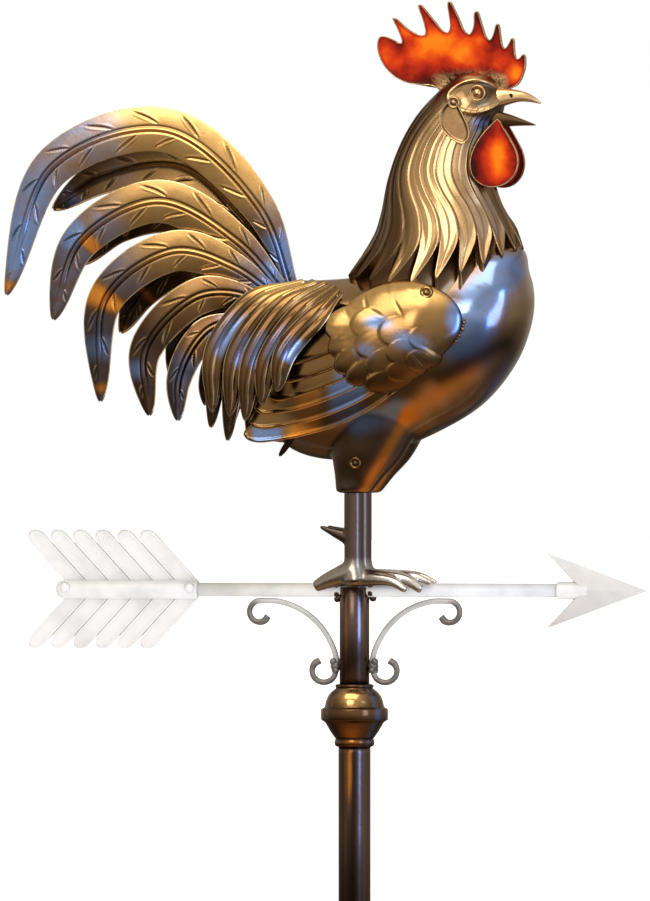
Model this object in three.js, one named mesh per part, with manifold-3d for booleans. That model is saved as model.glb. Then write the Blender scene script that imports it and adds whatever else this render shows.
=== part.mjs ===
// A weathercock: a cock built up of formed sheet-metal pieces, standing on an arrow that turns on a fixed pole.
// Millimetres. X runs along the arrow towards its point, Z is up, and the near flank faces -Y.
import * as THREE from "three";
import { mergeVertices } from "three/addons/utils/BufferGeometryUtils.js";
import Module from "manifold-3d";

const wasm = await Module();
wasm.setup();

// Driving dimensions
const GAP = 0.3; // kept between touching pieces
const POLE_RADIUS = 16.2;
const POLE_TOP = 184; // the collar rests here
const COLLAR_TOP = 247;
const SOCKET_FLOOR = 216; // the post turns in a socket in the collar, down to here
const POST_RADIUS = 15;
const POST_TOP = 344; // the feet stand here
const ARROW_HEIGHT = 341;
const SHAFT_RADIUS = 7;
const SHAFT_REAR = -160;
const SLEEVE_RADIUS = 9.5;
const SLEEVE_REAR = -306;
const HEAD_SOCKET = 207; // rear face of the arrowhead's socket
const ARROW_TIP = 300;
const LEG_OFFSET = 18; // each leg's distance from the middle plane
const LEG_RADIUS = 10.2;
const THIGH_BOTTOM = 438;
const PLATE = 2.2; // thickness of a feather plate

// Finishes
const finish = (color, roughness, metalness) =>
  new THREE.MeshStandardMaterial({ color, roughness, metalness });
const agedBrass = finish(0x8a6535, 0.32, 1);
const darkBronze = finish(0x4a3527, 0.35, 1);
const paleSilver = finish(0xd9d6d2, 0.3, 1);
const pewter = finish(0x8d857e, 0.4, 1);
const redEnamel = finish(0xd8330c, 0.15, 0.2);

// Solids and geometries

// The geometry with shared vertices merged and the triangles that collapsed at poles left out.
function weld(geometry) {
  const bare = new THREE.BufferGeometry();
  bare.setAttribute("position", geometry.attributes.position.clone());
  if (geometry.index) bare.setIndex(geometry.index.clone());
  const merged = mergeVertices(bare, 1e-3);
  const kept = [];
  const all = merged.index.array;
  for (let i = 0; i < all.length; i += 3) {
    const [a, b, c] = [all[i], all[i + 1], all[i + 2]];
    if (a !== b && b !== c && c !== a) kept.push(a, b, c);
  }
  return merged.setIndex(kept);
}

function solidOf(geometry) {
  const welded = weld(geometry);
  const vertProperties = welded.attributes.position.array;
  const triVerts = new Uint32Array(welded.index.array);
  return new wasm.Manifold(new wasm.Mesh({ numProp: 3, vertProperties, triVerts }));
}

// The largest body of a solid, as a geometry: a cut can leave crumbs behind.
function geometryOf(solid) {
  const bodies = solid.decompose().sort((a, b) => b.volume() - a.volume());
  const mesh = bodies[0].getMesh();
  const geometry = new THREE.BufferGeometry();
  geometry.setAttribute("position", new THREE.BufferAttribute(mesh.vertProperties, 3));
  geometry.setIndex(new THREE.BufferAttribute(mesh.triVerts, 1));
  return geometry;
}

// Each vertex grown outwards by a distance along the surface's own normal.
function grown(geometry, distance = GAP) {
  const skin = weld(geometry);
  skin.computeVertexNormals();
  const { position, normal } = skin.attributes;
  for (let i = 0; i < position.count; i++) {
    const at = new THREE.Vector3().fromBufferAttribute(position, i);
    const out = new THREE.Vector3().fromBufferAttribute(normal, i);
    at.addScaledVector(out, distance);
    position.setXYZ(i, at.x, at.y, at.z);
  }
  return skin;
}

// The plain shapes that a piece was made from, before any cut.
const shapesOf = (geometry) => geometry.userData.shapes ?? [geometry];

function joined(...pieces) {
  const whole = geometryOf(pieces.map(solidOf).reduce((sum, piece) => sum.add(piece)));
  whole.userData.shapes = pieces.flatMap(shapesOf);
  return whole;
}

// A piece cut back so that it clears its neighbours by the gap.
function clearOf(piece, ...neighbours) {
  const cut = (rest, shape) => rest.subtract(solidOf(grown(shape)));
  const rest = geometryOf(neighbours.flatMap(shapesOf).reduce(cut, solidOf(piece)));
  rest.userData.shapes = shapesOf(piece);
  return rest;
}

function reshape(geometry, move) {
  const { position } = geometry.attributes;
  for (let i = 0; i < position.count; i++) {
    const to = move(new THREE.Vector3().fromBufferAttribute(position, i));
    position.setXYZ(i, to.x, to.y, to.z);
  }
  return geometry;
}

// The same piece on the other flank.
function mirrored(geometry) {
  const other = geometry.userData.shapes ? geometry.clone() : weld(geometry);
  reshape(other, (v) => v.setY(-v.y));
  const turned = Array.from(other.index.array);
  for (let i = 0; i < turned.length; i += 3)
    [turned[i + 1], turned[i + 2]] = [turned[i + 2], turned[i + 1]];
  other.userData = { shapes: geometry.userData.shapes?.map(mirrored) };
  return other.setIndex(turned);
}

// Shapes used by many pieces

const { clamp, lerp, smoothstep } = THREE.MathUtils;
const rail = (points) =>
  new THREE.CatmullRomCurve3(points.map(([x, z, y = 0]) => new THREE.Vector3(x, y, z)));

// A skin between two rails in the middle plane. The first rail's third numbers are the half-widths.
// A sphere closes to a point at both ends, and a tube is cut flat there.
function between(upper, lower, geometry, detail = () => {}) {
  const [top, bottom] = [rail(upper), rail(lower)];
  const isSphere = geometry.type === "SphereGeometry";
  return reshape(geometry, (v) => {
    const spread = Math.hypot(v.x, v.z);
    const ring = { angle: Math.atan2(v.z, v.x), lift: 0, grow: 1 };
    ring.at = isSphere ? Math.acos(clamp(v.y, -1, 1)) / Math.PI : v.y + 0.5;
    detail(ring);
    const a = top.getPoint(ring.at);
    const b = bottom.getPoint(ring.at);
    const half = a.clone().sub(b).setY(0).multiplyScalar(0.5);
    const reach = isSphere ? 1 : spread;
    const out = half.multiplyScalar(Math.cos(ring.angle) * reach * ring.grow);
    out.y = -Math.sin(ring.angle) * a.y * reach * ring.grow;
    out.z += ring.lift * reach;
    return a.add(b).multiplyScalar(0.5).setY(0).add(out);
  });
}

// A share of a feather's full width: narrow at the root, full along the middle, rounded at the tip.
function featherWidth(at, root) {
  const opening = root + (1 - root) * smoothstep(at, 0, 0.45);
  const closing = Math.sqrt(1 - clamp((at - 0.55) / 0.452, 0, 1) ** 2);
  return opening * closing;
}

// A rod of tapering round section along a curve.
function tapered(points, startRadius, endRadius, sides = 5, steps = 2) {
  const path = new THREE.CatmullRomCurve3(points.map((p) => new THREE.Vector3(...p)));
  const up = new THREE.Vector3(0, 0, 1);
  return reshape(new THREE.CylinderGeometry(1, 1, 1, sides, steps), (v) => {
    const at = v.y + 0.5;
    const along = path.getTangent(at);
    const side = new THREE.Vector3().crossVectors(up, along).normalize();
    const over = new THREE.Vector3().crossVectors(along, side);
    const radius = lerp(startRadius, endRadius, at);
    const to = path.getPoint(at);
    return to.addScaledVector(over, v.x * radius).addScaledVector(side, v.z * radius);
  });
}

// A plate with the outline of a shape drawn in the XZ plane, from one Y to another.
function plate(shape, thickness, bevel = 0, curveSegments = 5) {
  const bevelled = { bevelEnabled: bevel > 0, bevelThickness: bevel, bevelSize: bevel };
  const settings = { depth: thickness - 2 * bevel, curveSegments, bevelSegments: 1 };
  const made = new THREE.ExtrudeGeometry(shape, { ...settings, ...bevelled });
  return made.rotateX(Math.PI / 2).translate(0, thickness / 2 - bevel, 0);
}

const upright = (radius, low, high, sides = 18) =>
  new THREE.CylinderGeometry(radius, radius, high - low, sides)
    .rotateX(Math.PI / 2)
    .translate(0, 0, (low + high) / 2);

const level = (radius, rear, front, sides = 10) =>
  new THREE.CylinderGeometry(radius, radius, front - rear, sides)
    .rotateZ(-Math.PI / 2)
    .translate((rear + front) / 2, 0, ARROW_HEIGHT);

// Pole, turned collar and turning post

const pole = upright(POLE_RADIUS, 0, POLE_TOP - GAP);

function collarGeometry() {
  const profile = new THREE.Path();
  const height = (share) => lerp(POLE_TOP, COLLAR_TOP, share);
  profile.moveTo(0, height(0));
  profile.lineTo(17.5, height(0));
  profile.quadraticCurveTo(21.5, height(0.05), 19.2, height(0.12));
  profile.lineTo(19.2, height(0.16));
  profile.lineTo(29.4, height(0.42));
  profile.lineTo(33.7, height(0.46));
  profile.lineTo(33.7, height(0.62));
  profile.lineTo(30, height(0.66));
  profile.quadraticCurveTo(27.5, height(0.86), 18.6, height(0.93));
  profile.lineTo(19.2, height(0.95));
  profile.lineTo(19.2, height(0.98));
  profile.lineTo(17.4, height(1));
  profile.lineTo(0, height(1));
  const points = profile.getPoints(2);
  const turned = new THREE.LatheGeometry(points, 12).rotateX(Math.PI / 2);
  const socket = upright(POST_RADIUS + GAP, SOCKET_FLOOR - GAP, COLLAR_TOP + 5);
  return geometryOf(solidOf(turned).subtract(solidOf(socket)));
}

const shaft = level(SHAFT_RADIUS, SHAFT_REAR + GAP, HEAD_SOCKET - GAP);
const post = clearOf(upright(POST_RADIUS, SOCKET_FLOOR, POST_TOP - GAP), shaft);

// Arrow: sleeve, riveted flights and head

const RIVET_STATIONS = [-295, -167];

// A rivet through the sleeve, with a domed head on each side.
function sleeveRivet(station) {
  const [shank, dome, rise] = [2.6, 5.2, 3.4];
  const side = SLEEVE_RADIUS - 0.8;
  const profile = new THREE.Path();
  profile.moveTo(0, -side - rise);
  profile.quadraticCurveTo(dome, -side - rise, dome, -side);
  profile.lineTo(shank, -side);
  profile.lineTo(shank, side);
  profile.lineTo(dome, side);
  profile.quadraticCurveTo(dome, side + rise, 0, side + rise);
  const made = new THREE.LatheGeometry(profile.getPoints(2), 6);
  return made.translate(station, 0, ARROW_HEIGHT + 2);
}

function sleeveGeometry() {
  const profile = new THREE.Path();
  profile.moveTo(0, SLEEVE_REAR);
  profile.quadraticCurveTo(SLEEVE_RADIUS, SLEEVE_REAR, SLEEVE_RADIUS, SLEEVE_REAR + 10);
  profile.lineTo(SLEEVE_RADIUS, SHAFT_REAR);
  profile.lineTo(0, SHAFT_REAR);
  const turned = new THREE.LatheGeometry(profile.getPoints(2), 10);
  turned.rotateZ(-Math.PI / 2).translate(0, 0, ARROW_HEIGHT);
  return clearOf(turned, ...RIVET_STATIONS.map(sleeveRivet));
}

// One side's flights: barbs that lean back, rounded at their ends, with a slit between each two.
const FLIGHT = { barbs: 6, front: -152, pitch: 23, lean: 43, reach: 58, thickness: 3, slit: 0.62 };

function flightsGeometry(side) {
  const lean = Math.tan(THREE.MathUtils.degToRad(FLIGHT.lean));
  const at = (along, rise) => [along - rise * lean, ARROW_HEIGHT + side * rise];
  const rear = FLIGHT.front - FLIGHT.barbs * FLIGHT.pitch;
  const shape = new THREE.Shape();
  shape.moveTo(...at(rear, SHAFT_RADIUS));
  for (let barb = 0; barb < FLIGHT.barbs; barb++) {
    const [back, front] = [rear + barb * FLIGHT.pitch, rear + (barb + 1) * FLIGHT.pitch];
    const middle = lerp(back, front, 0.45);
    shape.lineTo(...at(back + 0.6, FLIGHT.reach * 0.88));
    shape.quadraticCurveTo(...at(back + 1, FLIGHT.reach), ...at(middle, FLIGHT.reach));
    shape.quadraticCurveTo(...at(front - 1, FLIGHT.reach), ...at(front - 0.6, FLIGHT.reach * 0.84));
    if (barb < FLIGHT.barbs - 1) shape.lineTo(...at(front, FLIGHT.reach * (1 - FLIGHT.slit)));
  }
  shape.lineTo(...at(FLIGHT.front, SHAFT_RADIUS));
  return plate(shape, FLIGHT.thickness, 0, 2);
}

// A barbed head with a ridge down each face, on a short socket.
function arrowheadGeometry() {
  const [notch, barbRear, barbRise, ridge] = [232, 194, 39, 8];
  const head = reshape(new THREE.OctahedronGeometry(1), (v) => {
    if (Math.abs(v.x) > 0.5) return v.set(v.x > 0 ? ARROW_TIP : notch, 0, ARROW_HEIGHT);
    if (Math.abs(v.y) > 0.5) return v.set(notch + 3, v.y * ridge, ARROW_HEIGHT);
    return v.set(barbRear, 0, ARROW_HEIGHT + v.z * barbRise);
  });
  return joined(head, level(SHAFT_RADIUS + 1.8, HEAD_SOCKET, notch + 4));
}

// Scroll brackets between the post and the arrow

const SCROLL = {
  bar: 2.9,
  foot: { x: -32.3, z: 261, radius: 13.7, end: 10, turn: 250 },
  arm: [[-18.5, 272], [-31, 300], [-51.5, 319.4], [-75, 329]],
  curl: { x: -96.5, z: 318.3, radius: 12.2, end: 8.8, turn: 262 },
};

function scrollGeometry(side) {
  const { bar, foot, arm, curl } = SCROLL;
  const points = [];
  const spot = (x, z) => points.push(new THREE.Vector3(side * x, 0, z));
  const round = (x, z, degrees, radius) => {
    const angle = THREE.MathUtils.degToRad(degrees);
    spot(x + Math.cos(angle) * radius, z + Math.sin(angle) * radius);
  };
  for (let turn = foot.turn; turn > 0; turn -= 36)
    round(foot.x, foot.z, -turn, lerp(foot.radius, foot.end, turn / foot.turn));
  arm.forEach(([x, z]) => spot(x, z));
  for (let turn = 0; turn <= curl.turn; turn += 37)
    round(curl.x, curl.z, 75 + turn, lerp(curl.radius, curl.end, turn / curl.turn));
  const sides = 6;
  const section = new THREE.Shape();
  for (let i = 0; i < sides; i++) {
    const angle = (i / sides) * 2 * Math.PI;
    const corner = [bar * Math.cos(angle), bar * Math.sin(angle)];
    i ? section.lineTo(...corner) : section.moveTo(...corner);
  }
  const extrudePath = new THREE.CatmullRomCurve3(points);
  return new THREE.ExtrudeGeometry(section, { steps: 22, extrudePath, bevelEnabled: false });
}

// Body: an egg from rump to breast, with a thigh on each side

const BACK_LINE = [
  [-95, 596, 0], [-88, 631, 30], [-66, 649, 45], [-35, 651, 55], [1, 654, 62], [47, 666, 66],
  [98, 682, 66], [139, 690, 61], [163, 681, 49], [177, 658, 30], [183, 631, 0],
];
const BELLY_LINE = [
  [-95, 596], [-98, 558], [-91, 512], [-64, 482], [-21, 471], [31, 478],
  [85, 499], [131, 527], [163, 566], [177, 600], [183, 631],
];
const egg = between(BACK_LINE, BELLY_LINE, new THREE.SphereGeometry(1, 16, 12));

function thighGeometry() {
  const front = [[22, THIGH_BOTTOM, 13], [38, 454, 16], [58, 475, 22], [80, 520, 28]];
  const rear = [[-14, THIGH_BOTTOM], [-15, 452], [-18, 474], [-26, 520]];
  const leg = between(front, rear, new THREE.CylinderGeometry(1, 1, 1, 10, 3));
  return leg.translate(0, -LEG_OFFSET - 5, 0);
}
const thigh = thighGeometry();
const body = joined(egg, thigh, mirrored(thigh));

// How far the flank stands out from the middle plane at a place in side view.
// Behind and below the rump it runs on at the depth that the hanging feathers keep.
const [backRail, bellyRail] = [rail(BACK_LINE), rail(BELLY_LINE)];

function flankDepth(x, z) {
  let [low, high] = [0.02, 0.98];
  let depth = 0;
  for (let step = 0; step < 24; step++) {
    const at = (low + high) / 2;
    const [a, b] = [backRail.getPoint(at), bellyRail.getPoint(at)];
    const share = (2 * z - a.z - b.z) / (a.z - b.z);
    const reached = (a.x + b.x) / 2 + (share * (a.x - b.x)) / 2;
    [low, high] = reached < x ? [at, high] : [low, at];
    depth = a.y * Math.sqrt(1 - clamp(Math.abs(share), 0, 0.985) ** 2);
  }
  const hanging = lerp(24, 47, smoothstep(655 - z, 0, 60)) * smoothstep(120 - x, 0, 140);
  const over = depth - hanging;
  return hanging + (over + Math.hypot(over, 6)) / 2;
}

// A point over the near flank, a little way off the body.
function onFlank(x, z, lift) {
  const step = 4;
  const slopeX = (flankDepth(x + step, z) - flankDepth(x - step, z)) / (2 * step);
  const slopeZ = (flankDepth(x, z + step) - flankDepth(x, z - step)) / (2 * step);
  const out = new THREE.Vector3(-slopeX, -1, -slopeZ).normalize();
  return new THREE.Vector3(x, -flankDepth(x, z), z).addScaledVector(out, lift);
}

// A feather plate bent along a curve, with a ridge down its middle.
// It leans back from upright by one angle at its root and another at its tip, or lies over the flank.
function feather({ spine, width, root, ridge, steps, lean = [0, 0], lift }) {
  const curve = rail(spine);
  return reshape(new THREE.BoxGeometry(1, 1, 1, steps, 2, 1), (v) => {
    const at = v.x + 0.5;
    const middle = curve.getPoint(at);
    const along = curve.getTangent(at);
    const half = Math.max(0.5, (width / 2) * featherWidth(at, root));
    const stand = v.z * PLATE + ridge * (1 - 2 * Math.abs(v.y));
    const aside = 2 * v.y * half;
    if (lift) return onFlank(middle.x - along.z * aside, middle.z + along.x * aside, lift + stand);
    const tilt = THREE.MathUtils.degToRad(lerp(...lean, smoothstep(at, 0, 0.6)));
    const out = new THREE.Vector3(0, -Math.cos(tilt), Math.sin(tilt));
    const across = new THREE.Vector3().crossVectors(out, along).normalize();
    return middle.addScaledVector(across, aside).addScaledVector(out, stand);
  });
}

// Tail: sickle feathers in a near and a far fan, from the outermost in

const NEAR_FAN = [
  { spine: [[-62, 634], [-96, 723], [-190, 801], [-306, 765], [-353, 637]], width: 45, steps: 12 },
  { spine: [[-66, 632], [-117, 689], [-197, 730], [-276, 690], [-303, 612]], width: 43, steps: 11 },
  { spine: [[-70, 628], [-120, 664], [-180, 680], [-248, 633], [-253, 530]], width: 41, steps: 9 },
  { spine: [[-74, 622], [-123, 638], [-159, 632], [-206, 581], [-201, 516]], width: 37, steps: 8 },
  { spine: [[-80, 608], [-133, 606], [-152, 591], [-170, 553], [-170, 511]], width: 29, steps: 7 },
];
const FAR_FAN = [
  { spine: [[-62, 632], [-114, 711], [-183, 766], [-262, 755], [-313, 723]], width: 40, steps: 9 },
  { spine: [[-66, 630], [-124, 681], [-191, 718], [-247, 706], [-285, 668]], width: 40, steps: 8 },
  { spine: [[-70, 626], [-124, 656], [-171, 669], [-222, 641], [-247, 599]], width: 38, steps: 7 },
  { spine: [[-74, 620], [-129, 623], [-155, 619], [-184, 596], [-198, 557]], width: 32, steps: 6 },
  { spine: [[-80, 606], [-136, 591], [-149, 571], [-158, 546], [-163, 526]], width: 26, steps: 6 },
];
const FAN_STEP = 4.8; // each feather lies this far outside the last one at the root

function sickle({ spine, width, steps }, order) {
  const start = 3 + FAN_STEP * order;
  const splay = 14 + 3 * order;
  const placed = spine.map(([x, z], i) => [x, z, -start - (splay * i) / (spine.length - 1)]);
  return clearOf(feather({ spine: placed, width, root: 0.4, ridge: 2.2, steps }), egg);
}
const nearFan = NEAR_FAN.map(sickle);
const farFan = FAR_FAN.map(sickle);

// Wings: a plate of long feathers, and a shoulder cover with a scalloped edge over it

const LONG_FEATHERS = [
  { root: [94, 576], tip: [-102, 498], sag: 19 },
  { root: [89, 584], tip: [-96, 511], sag: 16 },
  { root: [83, 593], tip: [-90, 525], sag: 13 },
  { root: [77, 603], tip: [-75, 539], sag: 10 },
  { root: [70, 614], tip: [-60, 557], sag: 8 },
  { root: [62, 627], tip: [-54, 574], sag: 7 },
];
const BLADE = { rootWidth: 10, width: 17.5, step: 2.6, base: 1.6, blunt: 9, length: 4 };

// One plate: each feather's lower edge stands proud of the feather below it and hangs over it a little.
// The plate's inner side has no overhang: there two feathers meet half way between their middles.
function longFeathersGeometry() {
  const columns = LONG_FEATHERS.length * 3 - 1;
  const middle = ({ root, tip, sag }, at) => lerp(root[1], tip[1], at) - sag * 4 * at * (1 - at);
  return reshape(new THREE.BoxGeometry(1, 1, 1, BLADE.length, columns, 1), (v) => {
    const column = Math.round((v.y + 0.5) * columns);
    const order = Math.floor(column / 3);
    const blade = LONG_FEATHERS[order];
    const aside = (column % 3) - 1;
    const at = 0.5 - v.x;
    const isInner = v.z < 0;
    const next = isInner && aside ? LONG_FEATHERS[order + aside] : undefined;
    const half = lerp(BLADE.rootWidth, BLADE.width, smoothstep(at, 0, 0.4)) / 2;
    const edge = next ? (middle(next, at) - middle(blade, at)) / 2 - aside * GAP : aside * half;
    const x = lerp(blade.root[0], blade.tip[0] + BLADE.blunt * aside * aside, at);
    const shingle = BLADE.step * (1 - aside) * 0.5;
    return onFlank(x, middle(blade, at) + edge, BLADE.base + (isInner ? 0 : PLATE + shingle));
  });
}

const SHOULDER = { x: 57, z: 600, length: 67, height: 42, tilt: 14, dome: 9, inner: 9.3 };
const SCALLOPS = [[6, 604], [10, 584], [25, 565]];

// A low dome over the flank, which rests on the long feathers at its rear and on the body in front.
function boss({ x, z, length, height, tilt, dome, inner }, around, rings) {
  const turn = THREE.MathUtils.degToRad(tilt);
  return reshape(new THREE.SphereGeometry(1, around, rings), (v) => {
    const [along, up] = [v.x * length, -v.z * height];
    const across = x + along * Math.cos(turn) - up * Math.sin(turn);
    const rise = z + along * Math.sin(turn) + up * Math.cos(turn);
    const rest = lerp(inner, 1.5, smoothstep(across, 70, 118));
    return onFlank(across, rise, rest + (v.y > 0 ? 1.5 + v.y * dome : 0));
  });
}

function shoulderGeometry() {
  const scale = { length: 22, height: 12, tilt: 24, dome: 5, inner: SHOULDER.inner };
  const scales = SCALLOPS.map(([x, z]) => boss({ ...scale, x, z }, 6, 4));
  return joined(boss(SHOULDER, 14, 7), ...scales);
}

const longFeathers = clearOf(longFeathersGeometry(), body);
const shoulder = clearOf(shoulderGeometry(), body, longFeathers);

// Neck and head: a fluted cape of pointed hackles that runs up into the head

const NAPE_LINE = [
  [-6, 655], [17, 688], [26, 716], [32, 751], [44, 786], [62, 818], [83, 841], [106, 855],
];
const THROAT_LINE = [
  [178, 680, 63], [164, 706, 55], [153, 728, 48], [145, 751, 42],
  [140, 778, 37], [146, 804, 33], [156, 827, 29], [141, 854, 15],
];
const HACKLES = { count: 18, notch: 0.16, sag: -20, flute: 0.07 };

function capeGeometry() {
  const columns = HACKLES.count * 2;
  const skin = new THREE.CylinderGeometry(1, 1, 1, columns, 6);
  return between(THROAT_LINE, NAPE_LINE, skin, (ring) => {
    const column = Math.round((ring.angle / (2 * Math.PI)) * columns);
    const isNotch = Math.abs(column) % 2;
    const skirt = 1 - smoothstep(ring.at, 0, 0.35);
    ring.lift = HACKLES.sag * Math.sin(ring.angle) ** 2 * skirt;
    ring.grow = 1 - HACKLES.flute * isNotch * (1 - smoothstep(ring.at, 0.3, 0.7));
    if (isNotch && ring.at < 0.05) ring.at = HACKLES.notch;
  });
}

function beakGeometry() {
  const tube = () => new THREE.CylinderGeometry(1, 1, 1, 6, 3);
  const upperTop = [[140, 838, 15], [163, 840, 10], [178, 836, 6], [190.5, 827.5, 0.8]];
  const upperEdge = [[140, 821], [157, 826], [174, 828.5], [190, 826]];
  const lowerEdge = [[140, 820, 13], [158, 816, 8], [172, 811, 5], [185, 805.8, 0.8]];
  const lowerBottom = [[140, 803], [156, 803.5], [170, 804.5], [184.5, 804.8]];
  const upper = between(upperEdge.map(([x, z], i) => [x, z, upperTop[i][2]]), upperTop, tube());
  const lower = between(lowerBottom.map(([x, z], i) => [x, z, lowerEdge[i][2]]), lowerEdge, tube());
  return [upper, lower];
}

function eyeGeometry() {
  const ring = new THREE.TorusGeometry(7.2, 1.7, 4, 8).rotateX(Math.PI / 2);
  const ball = new THREE.SphereGeometry(4.6, 6, 4);
  const socket = new THREE.CylinderGeometry(7.2, 9, 12, 8).translate(0, 6, 0);
  return joined(...[ring, ball, socket].map((shape) => shape.translate(130, -29, 837)));
}

function headAndHackle() {
  const eye = eyeGeometry();
  const whole = joined(capeGeometry(), ...beakGeometry(), eye, mirrored(eye));
  return clearOf(whole, body, shoulder, mirrored(shoulder));
}
const head = headAndHackle();

// Comb, wattles and ear lobes

const COMB_POINTS = [[26, 894], [40, 912], [66, 925], [96, 928], [124, 919], [146, 906], [161, 892], [173, 876]];
const COMB_NOTCHES = [[48, 887], [72, 894], [97, 898], [118, 897], [138, 891], [153, 882], [164, 872]];

function combGeometry() {
  const shape = new THREE.Shape();
  shape.moveTo(90, 838);
  shape.bezierCurveTo(72, 846, 32, 838, 24, 880);
  shape.quadraticCurveTo(22, 890, ...COMB_POINTS[0]);
  COMB_NOTCHES.forEach(([x, z], order) => {
    const [fromX, fromZ] = COMB_POINTS[order];
    const [toX, toZ] = COMB_POINTS[order + 1];
    shape.quadraticCurveTo(lerp(fromX, x, 0.5) + 1, lerp(fromZ, z, 0.75), x, z);
    shape.quadraticCurveTo(lerp(toX, x, 0.4) + 2, lerp(toZ, z, 0.7), toX, toZ);
  });
  shape.bezierCurveTo(177, 862, 170, 846, 158, 842);
  shape.lineTo(140, 836);
  return clearOf(plate(shape, 6, 0, 2), head);
}

function wattleGeometry() {
  const shape = new THREE.Shape();
  shape.moveTo(150, 810);
  shape.bezierCurveTo(120, 792, 116, 744, 147, 743);
  shape.bezierCurveTo(178, 744, 176, 776, 150, 810);
  const [hang, splay] = [-24, 0.35];
  return reshape(plate(shape, 5, 1.2, 4), (v) => v.setY(v.y + hang + (v.x - 147) * splay));
}

function earLobeGeometry() {
  const shape = new THREE.Shape();
  shape.moveTo(102, 829);
  shape.bezierCurveTo(88, 812, 96, 796, 118, 787);
  shape.bezierCurveTo(132, 792, 122, 812, 109, 829);
  const leaf = plate(shape, 9, 0, 4).translate(0, -32, 0);
  const stud = new THREE.CylinderGeometry(6.2, 4.6, 14, 7).rotateX(Math.PI).translate(107, -33, 828);
  return joined(leaf, stud);
}

// Saddle: long narrow feathers that hang from the back over the rump and the wing

const SADDLE = [
  [[-51, 645, -24], [-86, 628, -42], [-125, 575, -49], [-137, 504, -46]],
  [[-45, 645, -26], [-77, 625, -46], [-108, 569, -53], [-119, 491, -50]],
  [[-46, 648, -28], [-89, 633, -47], [-129, 581, -57], [-133, 519, -57]],
  [[-32, 647, -30], [-69, 628, -52], [-106, 576, -62], [-114, 515, -62]],
  [[-22, 647, -32], [-54, 626, -56], [-89, 571, -67], [-97, 511, -68]],
  [[-12, 643, -38], [-39, 620, -62], [-72, 571, -72], [-79, 527, -74]],
  [[-6, 638, -48], [-23, 616, -67], [-54, 578, -77], [-62, 540, -80]],
];

function saddleGeometries() {
  const under = [body, longFeathers, shoulder, ...nearFan, ...farFan];
  return SADDLE.map((spine) => {
    const made = feather({ spine, width: 24, root: 0.5, ridge: 1.6, steps: 5, lean: [50, 2] });
    const placed = clearOf(made, ...under);
    under.push(placed);
    return placed;
  });
}

// Legs: a shank with a spur, and toes that grip the arrow's shaft

function legGeometry() {
  const [x, y] = [3.5, -LEG_OFFSET];
  const shank = upright(LEG_RADIUS, POST_TOP + 0.2, THIGH_BOTTOM - GAP, 10).translate(x, y, 0);
  const ankle = tapered([[x, y, 374], [x, y, 364], [x + 1, y, 356], [x + 2, y, 350]], LEG_RADIUS, 15, 6);
  const middle = tapered([[x, y, 352], [34, y - 2, 354], [58, y - 3, 351], [72, y - 3, 341]], 8, 3.4);
  const outer = tapered([[x, y, 351], [28, y - 9, 352], [46, y - 14, 349], [58, y - 17, 340]], 7, 2.8);
  const inner = tapered([[x, y, 352], [38, y + 4, 355], [64, y + 5, 354], [80, y + 5, 347]], 7.5, 2.4);
  const heel = tapered([[x, y, 352], [-17, y, 351], [-29, y, 349], [-37, y, 343]], 8, 4.5);
  const spur = tapered([[x, y, 392], [-11, y, 397], [-31, y, 404]], 8, 0.8);
  return clearOf(joined(shank, ankle, middle, outer, inner, heel, spur), post, shaft);
}

// Round-headed rivets that hold the wings and thighs

function rivetGeometry(place, radius, ...under) {
  const [x, y, z] = place;
  const profile = new THREE.Path();
  profile.moveTo(0, 0);
  profile.lineTo(radius, 0);
  profile.lineTo(radius, 9);
  profile.quadraticCurveTo(radius * 0.9, 12, 0, 12);
  const turned = new THREE.LatheGeometry(profile.getPoints(2), 10).rotateX(Math.PI);
  return clearOf(turned.translate(x, y, z), ...under);
}

// Assembly

const weathercock = new THREE.Group();
weathercock.name = "weathercock";

function add(parent, name, geometry, material) {
  const mesh = new THREE.Mesh(geometry, material);
  mesh.name = name;
  parent.add(mesh);
}

// A near piece and its mirror image on the far flank, each cut back from what it stands on.
function addPair(parent, name, geometry, material, ...under) {
  const fitted = (piece) => (under.length ? clearOf(piece, ...under) : piece);
  add(parent, `${name}_near`, fitted(geometry), material);
  add(parent, `${name}_far`, fitted(mirrored(geometry)), material);
}

const mast = new THREE.Group();
add(mast, "pole", pole, darkBronze);
add(mast, "collar", collarGeometry(), agedBrass);

const arrow = new THREE.Group();
add(arrow, "post", post, darkBronze);
add(arrow, "arrow_shaft", shaft, paleSilver);
const sleeve = sleeveGeometry();
add(arrow, "arrow_sleeve", sleeve, paleSilver);
add(arrow, "arrow_flights_upper", clearOf(flightsGeometry(1), sleeve), paleSilver);
add(arrow, "arrow_flights_lower", clearOf(flightsGeometry(-1), sleeve), paleSilver);
add(arrow, "arrow_rivet_rear", sleeveRivet(RIVET_STATIONS[0]), paleSilver);
add(arrow, "arrow_rivet_front", sleeveRivet(RIVET_STATIONS[1]), paleSilver);
add(arrow, "arrowhead", arrowheadGeometry(), paleSilver);
add(arrow, "scroll_rear", scrollGeometry(1), pewter);
add(arrow, "scroll_front", scrollGeometry(-1), pewter);

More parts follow.
